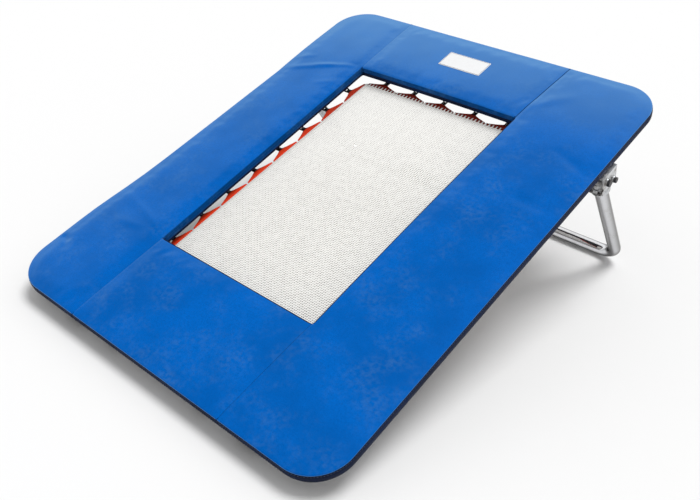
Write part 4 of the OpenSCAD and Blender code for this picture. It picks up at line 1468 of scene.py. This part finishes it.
class TRAMP_OT_suspension(bpy.types.Operator):
    """Makes the rubber cable loops and finishes the links and hooks"""
    bl_idname = "trampoline.suspension"
    bl_label = "Suspension"

    def execute(self, context):
        sizes = settings("metalwork")
        radius = sizes.cable_d / 2
        for side in SIDES:
            node = f"rubber_cables_{side}"
            loops = islands(node)
            middle, extent = loops[0]
            row_axis, out_axis = side_axes(side)
            reach = extent[out_axis]
            start = abs(middle[out_axis]) - bed_size(out_axis) / 2 - reach / 2
            path = self.loop_path(start + radius, start + reach - radius,
                                  extent[row_axis] / 2 - radius, sizes.cable_steps)
            section = turn_points((0, 0), radius, 0, math.tau, CABLE_SIDES)[:-1]
            cable = swept_mesh("cable", path, section, closed=True)
            cable.transform(Matrix.Rotation(math.radians(-90), 4, "X"))
            row = grow(f"cables_{side}", "Row of copies", "cable_sheath", cable,
                       count=len(loops), pitch=settings("bed_cloth").tab_pitch)
            place = side_matrix(side)
            settle(row, place, None, "cable_sheath", node)
            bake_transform(row)
            coat(f"tab_links_{side}", "black_wire")
            coat(f"frame_hooks_{side}", "black_paint")
        return {"FINISHED"}

    def loop_path(self, near, far, big, steps):
        """A closed loop in X and Y, with a small turn at the link and a large one at the peg."""
        a, b = near + LINK_BEND, far - big
        lean = math.asin((big - LINK_BEND) / (b - a))
        small_turn = turn_points((a, 0), LINK_BEND, math.pi / 2 + lean, math.pi - 2 * lean, steps)
        large_turn = turn_points((b, 0), big, -math.pi / 2 - lean, math.pi + 2 * lean, steps)
        return (small_turn + straight_points(small_turn[-1], large_turn[0], STRAIGHT_STEPS)
                + large_turn + straight_points(large_turn[-1], small_turn[0], STRAIGHT_STEPS))


class TRAMP_OT_metalwork(bpy.types.Operator):
    """Finishes the frame, the leg, the hinges and the feet"""
    bl_idname = "trampoline.metalwork"
    bl_label = "Frame and Leg"

    def execute(self, context):
        finishes = {
            "chrome_plate": ("frame_tube", "u_leg"),
            "zinc_plate": ("hinge_bracket_left", "hinge_bracket_right", "leg_head_left",
                           "leg_head_right", "hinge_washers", "foot_screws"),
            "black_oxide": ("hinge_bolts", "stop_bolts", "clamp_screws"),
            "black_rubber_feet": ("rubber_foot_left", "rubber_foot_right", "floor_sleeves"),
        }
        for finish, nodes in finishes.items():
            for node in nodes:
                coat(node, finish)
        return {"FINISHED"}


# ---------------------------------------------------------------- stage

# the camera's place in the pad's plane, from the pad's middle, and its right, down and ahead
CAMERA_AT = Vector((1.1442, -1.0458, 1.3164))
CAMERA_AXES = (
    Vector((0.73840, 0.65067, -0.17721)),
    Vector((0.37661, -0.61586, -0.69202)),
    Vector((-0.55941, 0.44425, -0.69979)),
)
LENS = 42.52
SENSOR = 36.0
SHIFT = 0.05
SUN_FROM = Vector((0.15, 0.25, 1.0))
FLOOR_HALF = 6.0


class TRAMP_OT_stage(bpy.types.Operator):
    """Makes the camera, the floor and the light"""
    bl_idname = "trampoline.stage"
    bl_label = "Stage"

    def execute(self, context):
        self.camera(context.scene)
        self.floor()
        self.light(context.scene)
        return {"FINISHED"}

    def camera(self, scene):
        data = bpy.data.cameras.new("Camera")
        data.lens, data.sensor_width, data.shift_x = LENS, SENSOR, SHIFT
        camera = new_object("Camera", data)
        right, down, ahead = (STAND.to_3x3() @ axis for axis in CAMERA_AXES)
        axes = Matrix((right, -down, -ahead)).transposed().to_4x4()
        middle = Vector((*(PAD_LOW + PAD_HIGH)[:2] / 2, 0))
        camera.matrix_world = Matrix.Translation(STAND @ (CAMERA_AT + middle)) @ axes
        scene.camera = camera

    def floor(self):
        corners = [(x * FLOOR_HALF, y * FLOOR_HALF, 0)
                   for x, y in ((-1, -1), (1, -1), (1, 1), (-1, 1))]
        mesh = make_mesh("floor", corners, [(0, 1, 2, 3)], smooth=False)
        paint = Finish("pale_floor", roughness=0.9, specular=0.1)
        paint.put("Base Color", shade(settings("stage").floor))
        mesh.materials.append(paint.material)
        new_object("floor", mesh)

    def light(self, scene):
        stage = settings("stage")
        world = bpy.data.worlds.new("Studio")
        scene.world = world
        world.use_nodes = True
        net = Net(world.node_tree)
        background = world.node_tree.nodes["Background"]
        rays = net.add("ShaderNodeLightPath").outputs
        seen = net.math("MAXIMUM", rays["Is Camera Ray"],
                        net.math("MAXIMUM", rays["Is Glossy Ray"], rays["Is Transmission Ray"]))
        strength = net.add("ShaderNodeMix", {0: seen, 2: stage.world, 3: 1.0}, data_type="FLOAT")
        net.feed(background, "Strength", strength.outputs[0])
        net.feed(background, "Color", (1.0, 1.0, 1.0))
        data = bpy.data.lights.new("Sun", "SUN")
        data.energy, data.angle = stage.sun, stage.softness
        lamp = new_object("Sun", data)
        lamp.location = SUN_FROM * 3
        lamp.rotation_euler = (-SUN_FROM).to_track_quat("-Z", "Y").to_euler()


# ---------------------------------------------------------------- add-on

OPERATORS = (
    TRAMP_OT_stage, TRAMP_OT_surround, TRAMP_OT_label, TRAMP_OT_straps, TRAMP_OT_bed,
    TRAMP_OT_tabs, TRAMP_OT_suspension, TRAMP_OT_metalwork,
)
GROUPS = {
    "surround": SurroundSettings,
    "bed_cloth": BedSettings,
    "metalwork": MetalSettings,
    "stage": StageSettings,
}


class TRAMP_PT_pieces(bpy.types.Panel):
    """Lists the pieces of the trampoline"""
    bl_idname = "TRAMP_PT_pieces"
    bl_label = "Trampoline"
    bl_space_type = "VIEW_3D"
    bl_region_type = "UI"
    bl_category = "Trampoline"

    def draw(self, context):
        for name in GROUPS:
            group = getattr(context.scene, name)
            for key in group.bl_rna.properties.keys():
                if key not in ("rna_type", "name"):
                    self.layout.prop(group, key)
        for operator in OPERATORS:
            self.layout.operator(operator.bl_idname)


def register():
    for name, group in GROUPS.items():
        bpy.utils.register_class(group)
        setattr(bpy.types.Scene, name, PointerProperty(type=group))
    for operator in (*OPERATORS, TRAMP_PT_pieces):
        bpy.utils.register_class(operator)


def unregister():
    for operator in reversed((*OPERATORS, TRAMP_PT_pieces)):
        bpy.utils.unregister_class(operator)
    for name, group in GROUPS.items():
        delattr(bpy.types.Scene, name)
        bpy.utils.unregister_class(group)


def main():
    register()
    bpy.context.scene.view_settings.view_transform = "Standard"
    bpy.ops.trampoline.stage()
    bpy.ops.trampoline.surround()
    bpy.ops.trampoline.label()
    bpy.ops.trampoline.straps()
    bpy.ops.trampoline.bed()
    bpy.ops.trampoline.tabs()
    bpy.ops.trampoline.suspension()
    bpy.ops.trampoline.metalwork()


if __name__ == "__main__":
    main()
